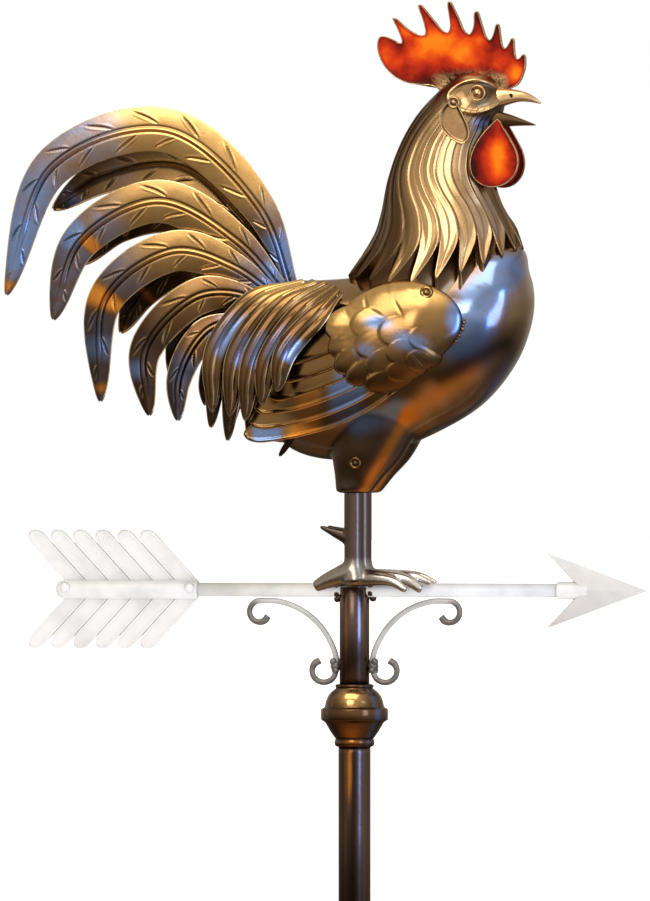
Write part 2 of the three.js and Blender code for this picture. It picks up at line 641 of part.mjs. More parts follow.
const cock = new THREE.Group();
add(cock, "body", body, agedBrass);
add(cock, "head_and_hackle", head, agedBrass);
add(cock, "comb", combGeometry(), redEnamel);
addPair(cock, "wattle", wattleGeometry(), redEnamel, head);
addPair(cock, "ear_lobe", earLobeGeometry(), agedBrass, head);
addPair(cock, "leg", legGeometry(), darkBronze);
addPair(cock, "wing_feathers", longFeathers, agedBrass);
addPair(cock, "wing_shoulder", shoulder, agedBrass);
const wingPin = onFlank(88, 638, 3).toArray();
addPair(cock, "wing_rivet", rivetGeometry(wingPin, 5.5, shoulder, body, head), agedBrass);
addPair(cock, "thigh_rivet", rivetGeometry([10, -33, 468], 5.5, body), agedBrass);
saddleGeometries().forEach((geometry, order) =>
  addPair(cock, `saddle_feather_${order + 1}`, geometry, agedBrass),
);
nearFan.forEach((geometry, order) =>
  add(cock, `sickle_near_${order + 1}`, geometry, agedBrass),
);
farFan.forEach((geometry, order) =>
  add(cock, `sickle_far_${order + 1}`, mirrored(geometry), agedBrass),
);

weathercock.add(mast, arrow, cock);

export default weathercock;
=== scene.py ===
# %% [markdown]
# # A weathercock in formed metal
# The object is a cock of shaped and soldered sheet brass on an arrow, and the arrow turns on a pole.
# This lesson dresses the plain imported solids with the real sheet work: ribbed feathers, a hackle of strands,
# enamel and wear. Every length below is in millimetres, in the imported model's own frame, and becomes metres
# when a piece is done.

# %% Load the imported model
import math

import bmesh
import bpy
import numpy as np
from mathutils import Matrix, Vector
from mathutils.bvhtree import BVHTree
from mathutils.kdtree import KDTree


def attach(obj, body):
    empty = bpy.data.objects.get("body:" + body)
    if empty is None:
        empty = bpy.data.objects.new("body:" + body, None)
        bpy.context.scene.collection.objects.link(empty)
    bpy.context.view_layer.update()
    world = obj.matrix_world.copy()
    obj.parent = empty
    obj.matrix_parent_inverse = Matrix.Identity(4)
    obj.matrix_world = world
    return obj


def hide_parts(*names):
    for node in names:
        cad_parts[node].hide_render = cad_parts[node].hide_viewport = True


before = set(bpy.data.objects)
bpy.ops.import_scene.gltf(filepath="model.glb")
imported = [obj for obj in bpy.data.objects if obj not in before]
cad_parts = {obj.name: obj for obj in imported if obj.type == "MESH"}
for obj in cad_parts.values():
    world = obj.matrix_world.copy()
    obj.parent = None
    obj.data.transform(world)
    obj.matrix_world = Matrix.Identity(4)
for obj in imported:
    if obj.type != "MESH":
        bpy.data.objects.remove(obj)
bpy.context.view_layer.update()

# %% [markdown]
# ## The camera first
# The photograph looks at the near flank from a little towards the head, from far off and almost level.
# A long lens from sixteen metres gives that flat view. The sensor is fitted by its height, so that
# one millimetre at the pole is one pixel of the 650 by 901 image.

# %% Camera
MM = 0.001
IMAGE = (650, 901)
POLE_PIXEL = 354.5
IMAGE_BOTTOM = 30
AZIMUTH = math.radians(12)
CAMERA_RISE = 0.004
DISTANCE = 16000
SENSOR = 24


def make_camera():
    right = Vector((math.cos(AZIMUTH), math.sin(AZIMUTH), 0))
    back = Vector((math.sin(AZIMUTH), -math.cos(AZIMUTH), CAMERA_RISE)).normalized()
    aim = right * (IMAGE[0] / 2 - POLE_PIXEL) + Vector((0, 0, IMAGE_BOTTOM + IMAGE[1] / 2))
    lens = bpy.data.cameras.new("camera")
    lens.sensor_fit = "VERTICAL"
    lens.sensor_height = SENSOR
    lens.lens = SENSOR * DISTANCE / IMAGE[1]
    camera = bpy.data.objects.new("camera", lens)
    camera.location = (aim + back * DISTANCE) * MM
    camera.rotation_euler = back.to_track_quat("Z", "Y").to_euler()
    bpy.context.collection.objects.link(camera)
    bpy.context.scene.camera = camera


make_camera()
print("camera", tuple(round(c, 3) for c in bpy.context.scene.camera.location))

# %% [markdown]
# ## Curves and blending
# Sheet-metal feathers follow curves, so one small class gives a smooth curve through a few points.
# Each point is cached, because a mesh asks for the same row many times over.

# %% Curves


def lerp(a, b, share):
    return a + (b - a) * share


def ease(x, low, high):
    share = min(1.0, max(0.0, (x - low) / (high - low)))
    return share * share * (3 - 2 * share)


def hump(x, rise, top, fall, end):
    return ease(x, rise, top) * (1 - ease(x, fall, end))


def bell(x, width):
    return math.exp(-((x / width) ** 2))


class Rail:
    """A smooth curve through points, evenly paced from 0 at the first to 1 at the last."""

    def __init__(self, points, closed=False):
        self.points = [Vector(p) for p in points]
        self.closed = closed
        self.kept = {}

    def corner(self, i):
        last = len(self.points) - 1
        if self.closed:
            return self.points[i % (last + 1)]
        if i < 0:
            return self.points[0] * 2 - self.points[1]
        if i > last:
            return self.points[last] * 2 - self.points[last - 1]
        return self.points[i]

    def at(self, share):
        key = round(share, 6)
        if key not in self.kept:
            self.kept[key] = self.work_out(key)
        return self.kept[key].copy()

    def work_out(self, share):
        spans = len(self.points) - (0 if self.closed else 1)
        place = min(1.0, max(0.0, share)) * spans
        i = min(int(place), spans - 1)
        w = place - i
        a, b, c, d = (self.corner(i + k) for k in (-1, 0, 1, 2))
        before = max((b - a).length ** 0.5, 1e-3)
        here = max((c - b).length ** 0.5, 1e-3)
        after = max((d - c).length ** 0.5, 1e-3)
        leave = ((b - a) / before - (c - a) / (before + here) + (c - b) / here) * here
        arrive = ((c - b) / here - (d - b) / (here + after) + (d - c) / after) * here
        square, cube = (c - b) * 3 - leave * 2 - arrive, (b - c) * 2 + leave + arrive
        return b + leave * w + square * w * w + cube * w * w * w

    def along(self, share):
        step = 1e-3
        low, high = max(0.0, share - step), min(1.0, share + step)
        return (self.at(high) - self.at(low)).normalized()

    def length(self):
        steps = [self.at(i / 60) for i in range(61)]
        return sum((b - a).length for a, b in zip(steps, steps[1:]))


def side_rail(points):
    """A rail drawn in side view: x and z, then a depth or half-width."""
    return Rail([(p[0], p[2] if len(p) > 2 else 0, p[1]) for p in points])


# %% [markdown]
# ## Sheets and skins
# Nearly every piece is a sheet bent to shape, so a grid operator starts it and a function moves its corners.
# The same function leaves notes on each corner. The patina note holds the painted gold highlight, the blue and
# orange tints that are partly painted reflection, and the painted shade there. The blade note says how far off
# a feather's middle it lies, and the half-width there.
# The finishes read both as mesh attributes.

# %% Sheets
BARE = (0.0, 0.0, 0.0, 0.0)
NO_BLADE = (0.0, 50.0, 0.0)
MERGE = 1e-3


def new_shape():
    shape = bmesh.new()
    shape.verts.layers.float_color.new("patina")
    shape.verts.layers.float_vector.new("blade")
    return shape


def mould(shape, place):
    """Move every corner: place takes its old spot and gives a point, a note of tints and painted light, and a
    blade note.
    """
    patina = shape.verts.layers.float_color["patina"]
    blade = shape.verts.layers.float_vector["blade"]
    for vert in shape.verts:
        vert.co, vert[patina], vert[blade] = place(vert.co)
    return shape


def sheet(along, across, place):
    shape = new_shape()
    bmesh.ops.create_grid(shape, x_segments=along, y_segments=across, size=0.5)
    reach = max(vert.co.x for vert in shape.verts)
    mould(shape, lambda co: place(0.5 + co.x / reach / 2, 0.5 + co.y / reach / 2))
    return shape


def sealed(shape):
    """Merge the corners that meet, and turn every face outwards."""
    bmesh.ops.remove_doubles(shape, verts=shape.verts, dist=MERGE)
    bmesh.ops.recalc_face_normals(shape, faces=shape.faces)
    return shape


def skin(around, along, place):
    """A closed skin: the sheet's first edge meets its last, and its ends may close to a point."""
    return sealed(sheet(around, along, place))


AXES = {
    "X": lambda co: Vector((co.z, co.y, -co.x)),
    "Y": lambda co: Vector((co.x, -co.z, co.y)),
    "Z": lambda co: co,
}


def turned(profile, around=48, axis="Z", centre=(0, 0, 0), paint=None):
    """A shape turned on a lathe: radius and height along the axis."""
    shape = new_shape()
    ring = [shape.verts.new((radius, 0, height)) for radius, height in profile]
    edges = [shape.edges.new(pair) for pair in zip(ring, ring[1:])]
    bmesh.ops.spin(
        shape, geom=ring + edges, cent=(0, 0, 0), axis=(0, 0, 1), angle=math.tau, steps=around, use_merge=True
    )

    def place(co):
        at = AXES[axis](co.copy()) + Vector(centre)
        return at, paint(at) if paint else BARE, NO_BLADE

    return mould(sealed(shape), place)


def join(shapes):
    whole = shapes[0]
    for other in shapes[1:]:
        mesh = bpy.data.meshes.new("part")
        other.to_mesh(mesh)
        other.free()
        whole.from_mesh(mesh)
        bpy.data.meshes.remove(mesh)
    return whole


def mirrored(shape):
    other = shape.copy()
    bmesh.ops.scale(other, vec=(1, -1, 1), verts=other.verts)
    bmesh.ops.reverse_faces(other, faces=other.faces)
    return other


# %% [markdown]
# ## Finished pieces
# Each finished piece stands for the imported node of the same name and rides on that node's body.
# A feather is bent as a thin sheet, so Solidify gives it its wall and Bevel rounds the cut edge.
# The far flank is a mirror image of the near one.

# %% Finished pieces
TALLY = []


def piece(name, shape, finish, slot, body="vane", wall=0.0, edge=0.0):
    """Make the object that stands for a node, with a sheet's thickness and rounded edge if it has them."""
    bmesh.ops.scale(shape, vec=(MM, MM, MM), verts=shape.verts)
    mesh = bpy.data.meshes.new(name)
    shape.to_mesh(mesh)
    shape.free()
    mesh.shade_smooth()
    mesh.materials.append(finish)
    made = bpy.data.objects.new(f"finished_{name}", mesh)
    bpy.context.collection.objects.link(made)
    if wall:
        solidify = made.modifiers.new("wall", "SOLIDIFY")
        solidify.thickness = wall * MM
        solidify.offset = 0.0
        solidify.use_even_offset = False
    if edge:
        bevel = made.modifiers.new("edge", "BEVEL")
        bevel.width = edge * MM
        bevel.segments = 2
        bevel.limit_method = "ANGLE"
        bevel.angle_limit = math.radians(50)
    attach(made, body)
    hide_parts(name)
    TALLY.append(name)
    return made


def both_flanks(name, shape, finish, slot, **rest):
    """The near piece, and its mirror image on the far flank."""
    far = mirrored(shape)
    piece(f"{name}_near", shape, finish, slot, **rest)
    piece(f"{name}_far", far, finish, slot, **rest)


# %% [markdown]
# ## Shader sums
# A finish is worked out from several notes and noises. A socket wrapped in a small class lets the sum be
# written as Python, and each operator adds its Math node. Everything else comes from one method that makes
# a node. The room's light is made with the same method, later on.

# %% Shader sums


class Wire:
    """A shader value that takes part in Python sums."""

    def __init__(self, tree, socket):
        self.tree, self.socket = tree, socket

    def math(self, operation, *others, first=True):
        node = self.tree.nodes.new("ShaderNodeMath")
        node.operation = operation
        values = (self, *others) if first else (*others, self)
        for socket, value in zip(node.inputs, values):
            feed(self.tree, socket, value)
        return Wire(self.tree, node.outputs[0])

    def __add__(self, other):
        return self.math("ADD", other)

    def __sub__(self, other):
        return self.math("SUBTRACT", other)

    def __rsub__(self, other):
        return self.math("SUBTRACT", other, first=False)

    def __mul__(self, other):
        return self.math("MULTIPLY", other)

    def __abs__(self):
        return self.math("ABSOLUTE")

    __radd__ = __add__
    __rmul__ = __mul__

    def clip(self):
        return self.math("MAXIMUM", 0.0).math("MINIMUM", 1.0)


def feed(tree, socket, value):
    if isinstance(value, Wire):
        tree.links.new(value.socket, socket)
    else:
        socket.default_value = value


class Nodes:
    """A node tree, and the method that adds any node: its type, its settings and what its sockets get."""

    def __init__(self, tree):
        self.tree = tree

    def node(self, kind, settings, sockets):
        node = self.tree.nodes.new(kind)
        for setting, value in settings.items():
            if setting == "stops":
                for stop, (place, colour) in zip(self.stops(node, len(value)), value):
                    stop.position, stop.color = place, colour
            else:
                setattr(node, setting, value)
        for socket, value in sockets.items():
            feed(self.tree, node.inputs[socket], value)
        return {socket.name: Wire(self.tree, socket) for socket in node.outputs if socket.enabled}

    def stops(self, node, count):
        ramp = node.color_ramp.elements
        while len(ramp) < count:
            ramp.new(0.5)
        return ramp

    def blend(self, under, over, share):
        sockets = {0: share, 6: under, 7: over}
        return self.node("ShaderNodeMix", {"data_type": "RGBA"}, sockets)["Result"]


class Finish(Nodes):
    """A material with one surface shader. Constants are set on the shader's own sockets."""

    def __init__(self, name, **constants):
        self.material = bpy.data.materials.new(name)
        self.material.use_nodes = True
        super().__init__(self.material.node_tree)
        self.shader = self.tree.nodes["Principled BSDF"]
        for socket, value in constants.items():
            self.shader.inputs[socket.replace("_", " ")].default_value = value
        self.spot = self.node("ShaderNodeTexCoord", {}, {})["Object"]

    def noise(self, scale, detail=3.0, rough=0.55):
        sockets = {"Vector": self.spot, "Scale": scale, "Detail": detail, "Roughness": rough}
        return self.node("ShaderNodeTexNoise", {}, sockets)["Fac"]

    def ramp(self, value, low, high):
        settings = {"interpolation_type": "SMOOTHSTEP"}
        sockets = {"Value": value, "From Min": low, "From Max": high}
        return self.node("ShaderNodeMapRange", settings, sockets)["Result"]

    def notes(self, name):
        return self.node("ShaderNodeAttribute", {"attribute_name": name}, {})

    def split(self, colour):
        parts = self.node("ShaderNodeSeparateColor", {}, {"Color": colour})
        return parts["Red"], parts["Green"], parts["Blue"]

    def set(self, **sockets):
        for socket, value in sockets.items():
            feed(self.tree, self.shader.inputs[socket.replace("_", " ")], value)

    def bump(self, height, distance):
        sockets = {"Height": height, "Distance": distance * MM, "Strength": 1.0}
        self.set(Normal=self.node("ShaderNodeBump", {}, sockets)["Normal"])


# %% [markdown]
# ## Aged metal
# The sheet is brass-coloured metal that was heated and waxed, brown where nothing else shows. On it the notes
# paint gold highlights, blue and orange tints that are partly heat tint and partly painted reflection, and
# painted shade, all as base colour broken up by noise. The edges of the feathers are painted bright, partly
# rubbed wear and partly a painted rim highlight, and the painted shade runs towards a dark grime colour.

# %% Metal finishes
BROWN = (0.145, 0.075, 0.034, 1)
GOLD_SHEEN = (0.640, 0.405, 0.155, 1)
BLUE_TINT_AND_GLEAM = (0.200, 0.305, 0.600, 1)
ORANGE_TINT_AND_GLEAM = (0.760, 0.290, 0.048, 1)
GRIME_AND_SHADE = (0.020, 0.013, 0.010, 1)
RUBBED_AND_LIT = (0.860, 0.640, 0.360, 1)
CLOUD, MOTTLE, GRAIN, DENT = 12.0, 65.0, 700.0, 30.0


def aged_metal(name, base=BROWN, gilt_sheen=GOLD_SHEEN, roughness=0.24, cloudy=0.35, dents=0.0):
    finish = Finish(name, Metallic=1.0)
    patina = finish.notes("patina")
    gold, blue, ember = finish.split(patina["Color"])
    shade = patina["Alpha"]
    cloud = finish.noise(CLOUD, 3.0)
    mottle = finish.noise(MOTTLE, 4.0, 0.6)
    grain = finish.noise(GRAIN, 2.0)
    spread = (cloud - 0.5) * 1.8 + (mottle - 0.5) * 0.9
    tone = finish.blend(base, GRIME_AND_SHADE, finish.ramp(cloud + (mottle - 0.5) * 0.4, 0.5, 0.8) * cloudy)
    # Painted gold highlight, then blue and orange tints that are partly painted reflection, then painted shade.
    colour = finish.blend(tone, gilt_sheen, (gold * (1 + spread * 0.7)).clip())
    colour = finish.blend(colour, BLUE_TINT_AND_GLEAM, finish.ramp(blue * (1 + spread), 0.15, 0.85))
    colour = finish.blend(colour, ORANGE_TINT_AND_GLEAM, finish.ramp(ember * (1 + spread), 0.1, 1.0))
    colour = finish.blend(colour, GRIME_AND_SHADE, (shade * (0.8 + mottle * 0.3)).clip())
    across, half, _ = finish.split(finish.notes("blade")["Color"])
    # Feather edges are painted bright: rubbed wear and a painted rim highlight.
    worn_and_lit = finish.ramp(abs(across) - half, -1.3, -0.5) * finish.ramp(mottle, 0.3, 0.5)
    colour = finish.blend(colour, RUBBED_AND_LIT, worn_and_lit * 0.7)
    height = (mottle - 0.5) * 0.11 + (grain - 0.5) * 0.016
    if dents:
        height = height + finish.noise(DENT, 0.0) * dents
    finish.set(Base_Color=colour, Roughness=(roughness + (mottle - 0.5) * 0.12 + shade * 0.12).clip())
    finish.bump(height, 1.0)
    return finish.material


feather_metal = aged_metal("feather_metal", roughness=0.21)
sheet_metal = aged_metal("sheet_metal", roughness=0.16)
formed_metal = aged_metal("formed_metal", roughness=0.17, dents=3.2)
hackle_metal = aged_metal("hackle_metal", gilt_sheen=(0.760, 0.515, 0.265, 1), roughness=0.24)
beaten_metal = aged_metal("beaten_metal", roughness=0.21, dents=1.6)
DARK = (0.125, 0.085, 0.072, 1)
PALE = (0.800, 0.780, 0.760, 1)
dark_metal = aged_metal("dark_metal", base=DARK, cloudy=0.15)
leg_metal = aged_metal("leg_metal", base=DARK, gilt_sheen=PALE, cloudy=0.15)
print("metals:", feather_metal.name, sheet_metal.name, hackle_metal.name, beaten_metal.name, dark_metal.name)

# %% [markdown]
# ## Silver, pewter and enamel
# The arrow is bleached silver-grey, so it is almost a white paint with little metal in it. The scrolls are
# dull pewter, darker where the shade note says so. Comb and wattles are red enamel in a metal rim: a ramp
# runs from dark red to orange, and the rim and the solder at the foot are metal, all in one shader.

# %% Silver, pewter and enamel
SILVER = (0.62, 0.635, 0.665, 1)
DULL_SILVER = (0.52, 0.535, 0.56, 1)
SILVER_SHADE = (0.30, 0.27, 0.25, 1)
PEWTER = (0.47, 0.475, 0.49, 1)
PEWTER_SHADE = (0.085, 0.070, 0.062, 1)
ENAMEL_RIM = (0.42, 0.28, 0.13, 1)
ENAMEL_SOLDER = (0.10, 0.06, 0.035, 1)
ENAMEL_HEAT = [
    (0.0, (0.026, 0.002, 0.001, 1)),
    (0.30, (0.160, 0.005, 0.002, 1)),
    (0.60, (0.400, 0.024, 0.002, 1)),
    (0.85, (0.560, 0.078, 0.002, 1)),
    (1.0, (0.620, 0.140, 0.003, 1)),
]


def silver_finish():
    finish = Finish("pale_silver", Metallic=0.08, Specular_IOR_Level=0.55)
    shade = finish.notes("patina")["Alpha"]
    cloud = finish.noise(30.0, 4.0)
    grain = finish.noise(500.0, 2.0)
    colour = finish.blend(SILVER, DULL_SILVER, finish.ramp(cloud, 0.4, 0.75))
    colour = finish.blend(colour, SILVER_SHADE, shade)
    finish.set(Base_Color=colour, Roughness=0.34 + cloud * 0.16)
    finish.bump(cloud * 0.2 + grain * 0.05, 0.5)
    return finish.material


def pewter_finish():
    finish = Finish("pewter")
    shade = finish.notes("patina")["Alpha"]
    cloud = finish.noise(60.0, 4.0)
    speck = finish.noise(420.0, 3.0)
    dark = (shade + (cloud - 0.5) * 0.4 + (speck - 0.5) * 0.5 * shade).clip()
    colour = finish.blend(PEWTER, PEWTER_SHADE, dark)
    finish.set(Base_Color=colour, Metallic=0.15 + dark * 0.7, Roughness=0.36 + cloud * 0.2)
    finish.bump(cloud + speck * 0.4, 0.4)
    return finish.material


def enamel_finish():
    finish = Finish("red_enamel", Coat_Roughness=0.06, Specular_IOR_Level=0.05)
    depth, glow, solder = finish.split(finish.notes("patina")["Color"])
    cloud = finish.noise(38.0, 3.0, 0.5)
    speck = finish.noise(260.0, 3.0)
    heat = (glow + (cloud - 0.5) * 1.3 + (speck - 0.5) * 0.15).clip()
    colour = finish.node("ShaderNodeValToRGB", {"stops": ENAMEL_HEAT}, {"Fac": heat})["Color"]
    rim = 1 - finish.ramp(depth, 0.05, 0.105)
    solid = (rim + solder * finish.ramp(cloud * 0.5 + speck * 0.5, 0.36, 0.5)).clip()
    metal = finish.blend(ENAMEL_RIM, ENAMEL_SOLDER, finish.ramp(speck, 0.42, 0.66))
    # The metal rim is painted paler: rubbed wear and a painted highlight.
    colour = finish.blend(finish.blend(colour, metal, solid), RUBBED_AND_LIT, rim * 0.25)
    finish.set(Base_Color=colour, Metallic=solid)
    finish.set(Roughness=0.38 - solid * 0.1, Coat_Weight=0.07 - solid * 0.07)
    finish.bump(cloud * 0.3 + speck * solder, 0.5)
    return finish.material


pale_silver = silver_finish()
pewter = pewter_finish()
red_enamel = enamel_finish()
print("other finishes:", pale_silver.name, pewter.name, red_enamel.name)

# %% [markdown]
# ## Pole, collar and post
# These are tube and a turned fitting, so each is one profile spun round the upright axis.
# The pole's foot is cut flat, where a roof socket would hold it.

# %% Pole, collar and post
ARROW = 341
COLLAR_FOOT = 190
POLE = [
    (0, 0), (15.4, 0), (16.2, 0.8), (16.2, 100), (16.2, 150), (16.2, 178), (16.2, 184.4), (0, 184.4),
]


def tube_note(at):
    """A painted blue reflection down the right of the tube, a painted warm highlight under the collar, a faint
    painted gold highlight further round, and painted shade between.
    """
    turn = math.atan2(at.x, -at.y)
    gleam = bell(turn - 0.52, 0.17)
    glow = min(1, bell(turn + 0.09, 0.15) * hump(at.z, 100, 150, 178, 184) + 0.4 * bell(turn + 0.4, 0.15))
    if at.z < COLLAR_FOOT:
        painted_shade = 0.45 - 0.35 * ease(turn, 0.6, 0.9) + 0.5 * bell(turn - 0.12, 0.26)
    else:
        painted_shade = 0.16 * bell(turn - 0.15, 0.2)
    painted_shade = max(0, painted_shade) * (1 - 0.8 * max(0.6 * gleam, glow))
    return (0.12 * bell(turn - 0.9, 0.3), 0.5 * gleam, glow, painted_shade)


piece("pole", turned(POLE, paint=tube_note), dark_metal, "dark_bronze", body="mast")

COLLAR = [
    (15.3, 216), (15.3, 246.2), (17.2, 247), (18.9, 246.3), (19.3, 245), (19.1, 243.8), (18.4, 243.2),
    (19.6, 242), (23.5, 239), (26.6, 235), (28.6, 230), (29.7, 224.8), (30.4, 223.6), (32.2, 222.8),
    (33.3, 222.2), (33.7, 221.2), (33.7, 212.2), (33.2, 211), (31.5, 210), (29.6, 208.6), (28.9, 207.6),
    (24.6, 200.2), (20.6, 194.4), (19.2, 192.6), (19.2, 191.4), (19.9, 190.4), (20.1, 188.6), (19.9, 186.6),
    (19.0, 185.2), (17.4, 184.2), (0, 184.2),
]


def collar_note(at):
    radius, turn = math.hypot(at.x, at.y), math.atan2(at.x, -at.y)
    # Painted light: blue gleams at two sides, a gold highlight on the dome, a warm tint low on the cone that is
    # partly painted reflection, and painted shade in the grooves and wherever the highlight is not.
    gleam = 0.5 * bell(turn - 1.0, 0.25) + 0.35 * bell(turn + 0.75, 0.2)
    gold = hump(at.z, 222, 230, 238, 245) * bell(turn - 0.05, 0.5)
    ember = 0.45 * ease(212 - at.z, 0, 8) * bell(turn, 0.6)
    groove = bell(radius - 18.4, 0.7) + bell(at.z - 223.2, 1.0) + bell(at.z - 209.5, 0.9)
    groove = groove + bell(at.z - 192, 1.0)
    return (0.06 + 0.94 * gold, gleam, ember, min(1, 0.26 * (1 - gold) + 0.7 * groove))


piece("collar", turned(COLLAR, 72, paint=collar_note), sheet_metal, "aged_brass", body="mast")

POST = [(0, 216), (15, 216), (15, 343.2), (14.2, 344), (0, 344)]


def lump(centre, size, note):
    """A bead of weld or solder, a little flattened."""
    profile = [(0, -size), (size * 0.75, -size * 0.7), (size, 0), (size * 0.75, size * 0.7), (0, size)]
    return turned(profile, 12, "Z", centre, lambda at: note)


def lumps(beads, note):
    """Beads listed as x, y, z and size."""
    return [lump(spot, size, note) for *spot, size in beads]


WELD = [
    (-17, -3, 338, 4.2), (-18, 2, 332, 3.6), (-17, -4, 345, 3.4),
    (17, -3, 339, 4.4), (18.5, 2, 333, 3.8), (17, -5, 346, 3.2),
]
welds = lumps(WELD, (0.2, 0, 0, 0.45))
piece("post", join([turned(POST, paint=tube_note), *welds]), dark_metal, "dark_bronze")
print("tubes:", TALLY)

# %% [markdown]
# ## Arrow
# The arrow is paler than the rest. Its shaft and sleeve are turned along X. Each flight is a leaning strap
# with a round end, made with the same bent-sheet function as the cock's feathers, so that comes first.
# It follows a spine, opens from the root, rounds off at the tip, and can carry a raised rib and cut strokes.

# %% Feather sheets


def feather_width(share, root, full, close):
    opening = root + (1 - root) * ease(share, 0, full)
    closing = max(0.0, 1 - max(0.0, (share - close) / (1.0005 - close)) ** 2) ** 0.58
    return opening * closing


STROKE_PITCH = 44


def stroke(along, off, half):
    """A lens-shaped cut on the slant, on each side in turn: how deep it is, and how far its lip stands."""
    lens = math.sin(math.pi * min(1, max(0, (abs(off) - half * 0.16) / (half * 0.72))))
    shift = STROKE_PITCH / 2 if off > 0 else 0
    slant = (along - abs(off) * 1.8 + shift) % STROKE_PITCH - STROKE_PITCH / 2
    out = abs(slant) / (3.2 * lens + 0.2)
    size = lens * ease(half, 5, 12)
    return size * max(0, 1 - out * out), size * bell(out - 1.3, 0.3)


def feather(
    spine, width, note, along, across, crown, rib,
    root=0.4, full=0.45, close=0.55, lean=(0, 0), ripple=0.0, strokes=False,
):
    """A bent sheet along a spine. Its root, full and close say where it opens, is widest and rounds off."""
    length = spine.length()

    def place(share, v):
        u = 1 - (1 - share) ** 1.45
        side = 2 * v - 1
        half = max(0.3, width / 2 * feather_width(u, root, full, close))
        tilt = math.radians(lerp(*lean, ease(u, 0, 0.6)))
        out = Vector((0, -math.cos(tilt), math.sin(tilt)))
        way = out.cross(spine.along(u)).normalized()
        off = side * half
        fade = rib * (1 - ease(u, 0.8, 0.97))
        valley = bell(abs(off) - 2.7, 0.9)
        cut, lip = stroke(u * length, off, half) if strokes else (0, 0)
        height = crown * (1 - abs(side) ** 1.7) + ripple * math.cos(3 * math.pi * side)
        height = height + fade * (bell(off, 1.4) - 0.5 * valley) - 0.9 * cut + 0.5 * lip
        gold, blue, ember, shade = note(u, side)
        # Painted highlight on the stroke lips and the rib top, and painted shade in the cuts and beside the
        # rib.
        gold = min(1, gold + 0.9 * lip + 0.3 * fade * bell(off, 1.0))
        shade = min(0.9, shade * (1 - 0.6 * lip) + 0.45 * cut + 0.4 * fade * valley)
        return spine.at(u) + way * off + out * height, (gold, blue, ember, shade), (off, half, 0)

    return sheet(along, across, place)


# %% Shaft, sleeve and flights
AIM = (0, 0, ARROW)
SHAFT = [(0, -159.7), (7, -159.7), (7, 206.7), (0, 206.7)]
SLEEVE = [
    (0, -306), (3.8, -305.6), (6.8, -304), (8.7, -301), (9.5, -296.5), (9.5, -161), (8.7, -160), (0, -160),
]
piece("arrow_shaft", turned(SHAFT, 32, "X", AIM), pale_silver, "pale_silver")
piece("arrow_sleeve", turned(SLEEVE, 36, "X", AIM), pale_silver, "pale_silver")

FLIGHTS = 6
FLIGHT_PITCH = 23
FLIGHT_WIDTH = 16.6
FLIGHT_REAR = -290
FLIGHT_REACH = (3, 57.6)
FLIGHT_LEAN = math.tan(math.radians(43))


def flight_note(u, side):
    return (0, 0, 0, 0.14 * bell(abs(side) - 0.72, 0.1) + 0.2 * ease(1 - u, 0.85, 1.0))


def flights(side):
    """Leaning straps, every second one a hair further back, so that no two faces lie in one plane."""
    straps = []
    for order in range(FLIGHTS):
        base = FLIGHT_REAR + FLIGHT_PITCH * (order + 0.5)
        layer = 0.25 * (order % 2)
        foot, end = (
            Vector((base - reach * FLIGHT_LEAN, layer, ARROW + side * reach)) for reach in FLIGHT_REACH
        )
        spine = Rail([foot.lerp(end, k / 3) for k in range(4)])
        straps.append(feather(
            spine, FLIGHT_WIDTH, flight_note, along=32, across=12, crown=-0.9, rib=0.0, root=1.0, full=0.1,
            close=0.86,
        ))
    return join(straps)


for side, name in ((1, "arrow_flights_upper"), (-1, "arrow_flights_lower")):
    piece(name, flights(side), pale_silver, "pale_silver", wall=2.6, edge=0.5)

# %% Arrow rivets and head
RIVET = [
    (0, -12.1), (2.6, -11.9), (4.4, -10.8), (5.2, -8.8), (2.6, -8.7),
    (2.6, 8.7), (5.2, 8.8), (4.4, 10.8), (2.6, 11.9), (0, 12.1),
]
for x, name in ((-295, "arrow_rivet_rear"), (-167, "arrow_rivet_front")):
    piece(name, turned(RIVET, 24, "Y", (x, 0, ARROW + 2)), pale_silver, "pale_silver")

HEAD_TIP, HEAD_RIDGE, HEAD_NOTCH, HEAD_BARB = 300, 235, 232, 194
HEAD_THICK, HEAD_HIGH = 8, 39
SOCKET = [(0, 207), (8.2, 207), (9, 207.8), (9, 226), (7.5, 238), (0, 240)]


def arrowhead():
    """A barbed head: four corners in the middle plane and a ridge on each face, then softened edges."""
    shape = new_shape()
    bmesh.ops.create_uvsphere(shape, u_segments=4, v_segments=2, radius=1)

    def place(co):
        x = HEAD_TIP if co.x > 0.5 else HEAD_NOTCH
        if abs(co.y) > 0.5:
            x = HEAD_RIDGE
        if abs(co.z) > 0.5:
            x = HEAD_BARB
        # Painted shade on the facets: darkest below, lightest above.
        grey = 0.7 if co.z < -0.5 else 0.2 if co.z > 0.5 else 0.35
        return Vector((x, HEAD_THICK * co.y, ARROW + HEAD_HIGH * co.z)), (0, 0, 0, grey), NO_BLADE

    mould(shape, place)
    bmesh.ops.recalc_face_normals(shape, faces=shape.faces)
    bmesh.ops.bevel(
        shape, geom=shape.edges[:], offset=0.7, affect="EDGES", segments=2, profile=0.5, material=-1
    )
    return join([shape, turned(SOCKET, 32, "X", AIM)])


head_of_arrow = piece("arrowhead", arrowhead(), pale_silver, "pale_silver")
head_of_arrow.data.set_sharp_from_angle(angle=math.radians(40))
print("arrow:", TALLY[-6:])

# %% [markdown]
# ## Scroll brackets
# Each bracket is one round bar: a curl at the post, a quarter arc, and a curl under the arrow.
# A tube follows that path. A knuckle of solder holds it to the post.

# %% Scrolls
LOW_CURL = (-32.3, 261)
HIGH_CURL = (-96.5, 318.3)
SCROLL_ARM = [(-18.5, 272), (-31, 300), (-51.5, 319.4), (-75, 329)]
BAR_RADIUS = 2.9
BAR_END = 0.03


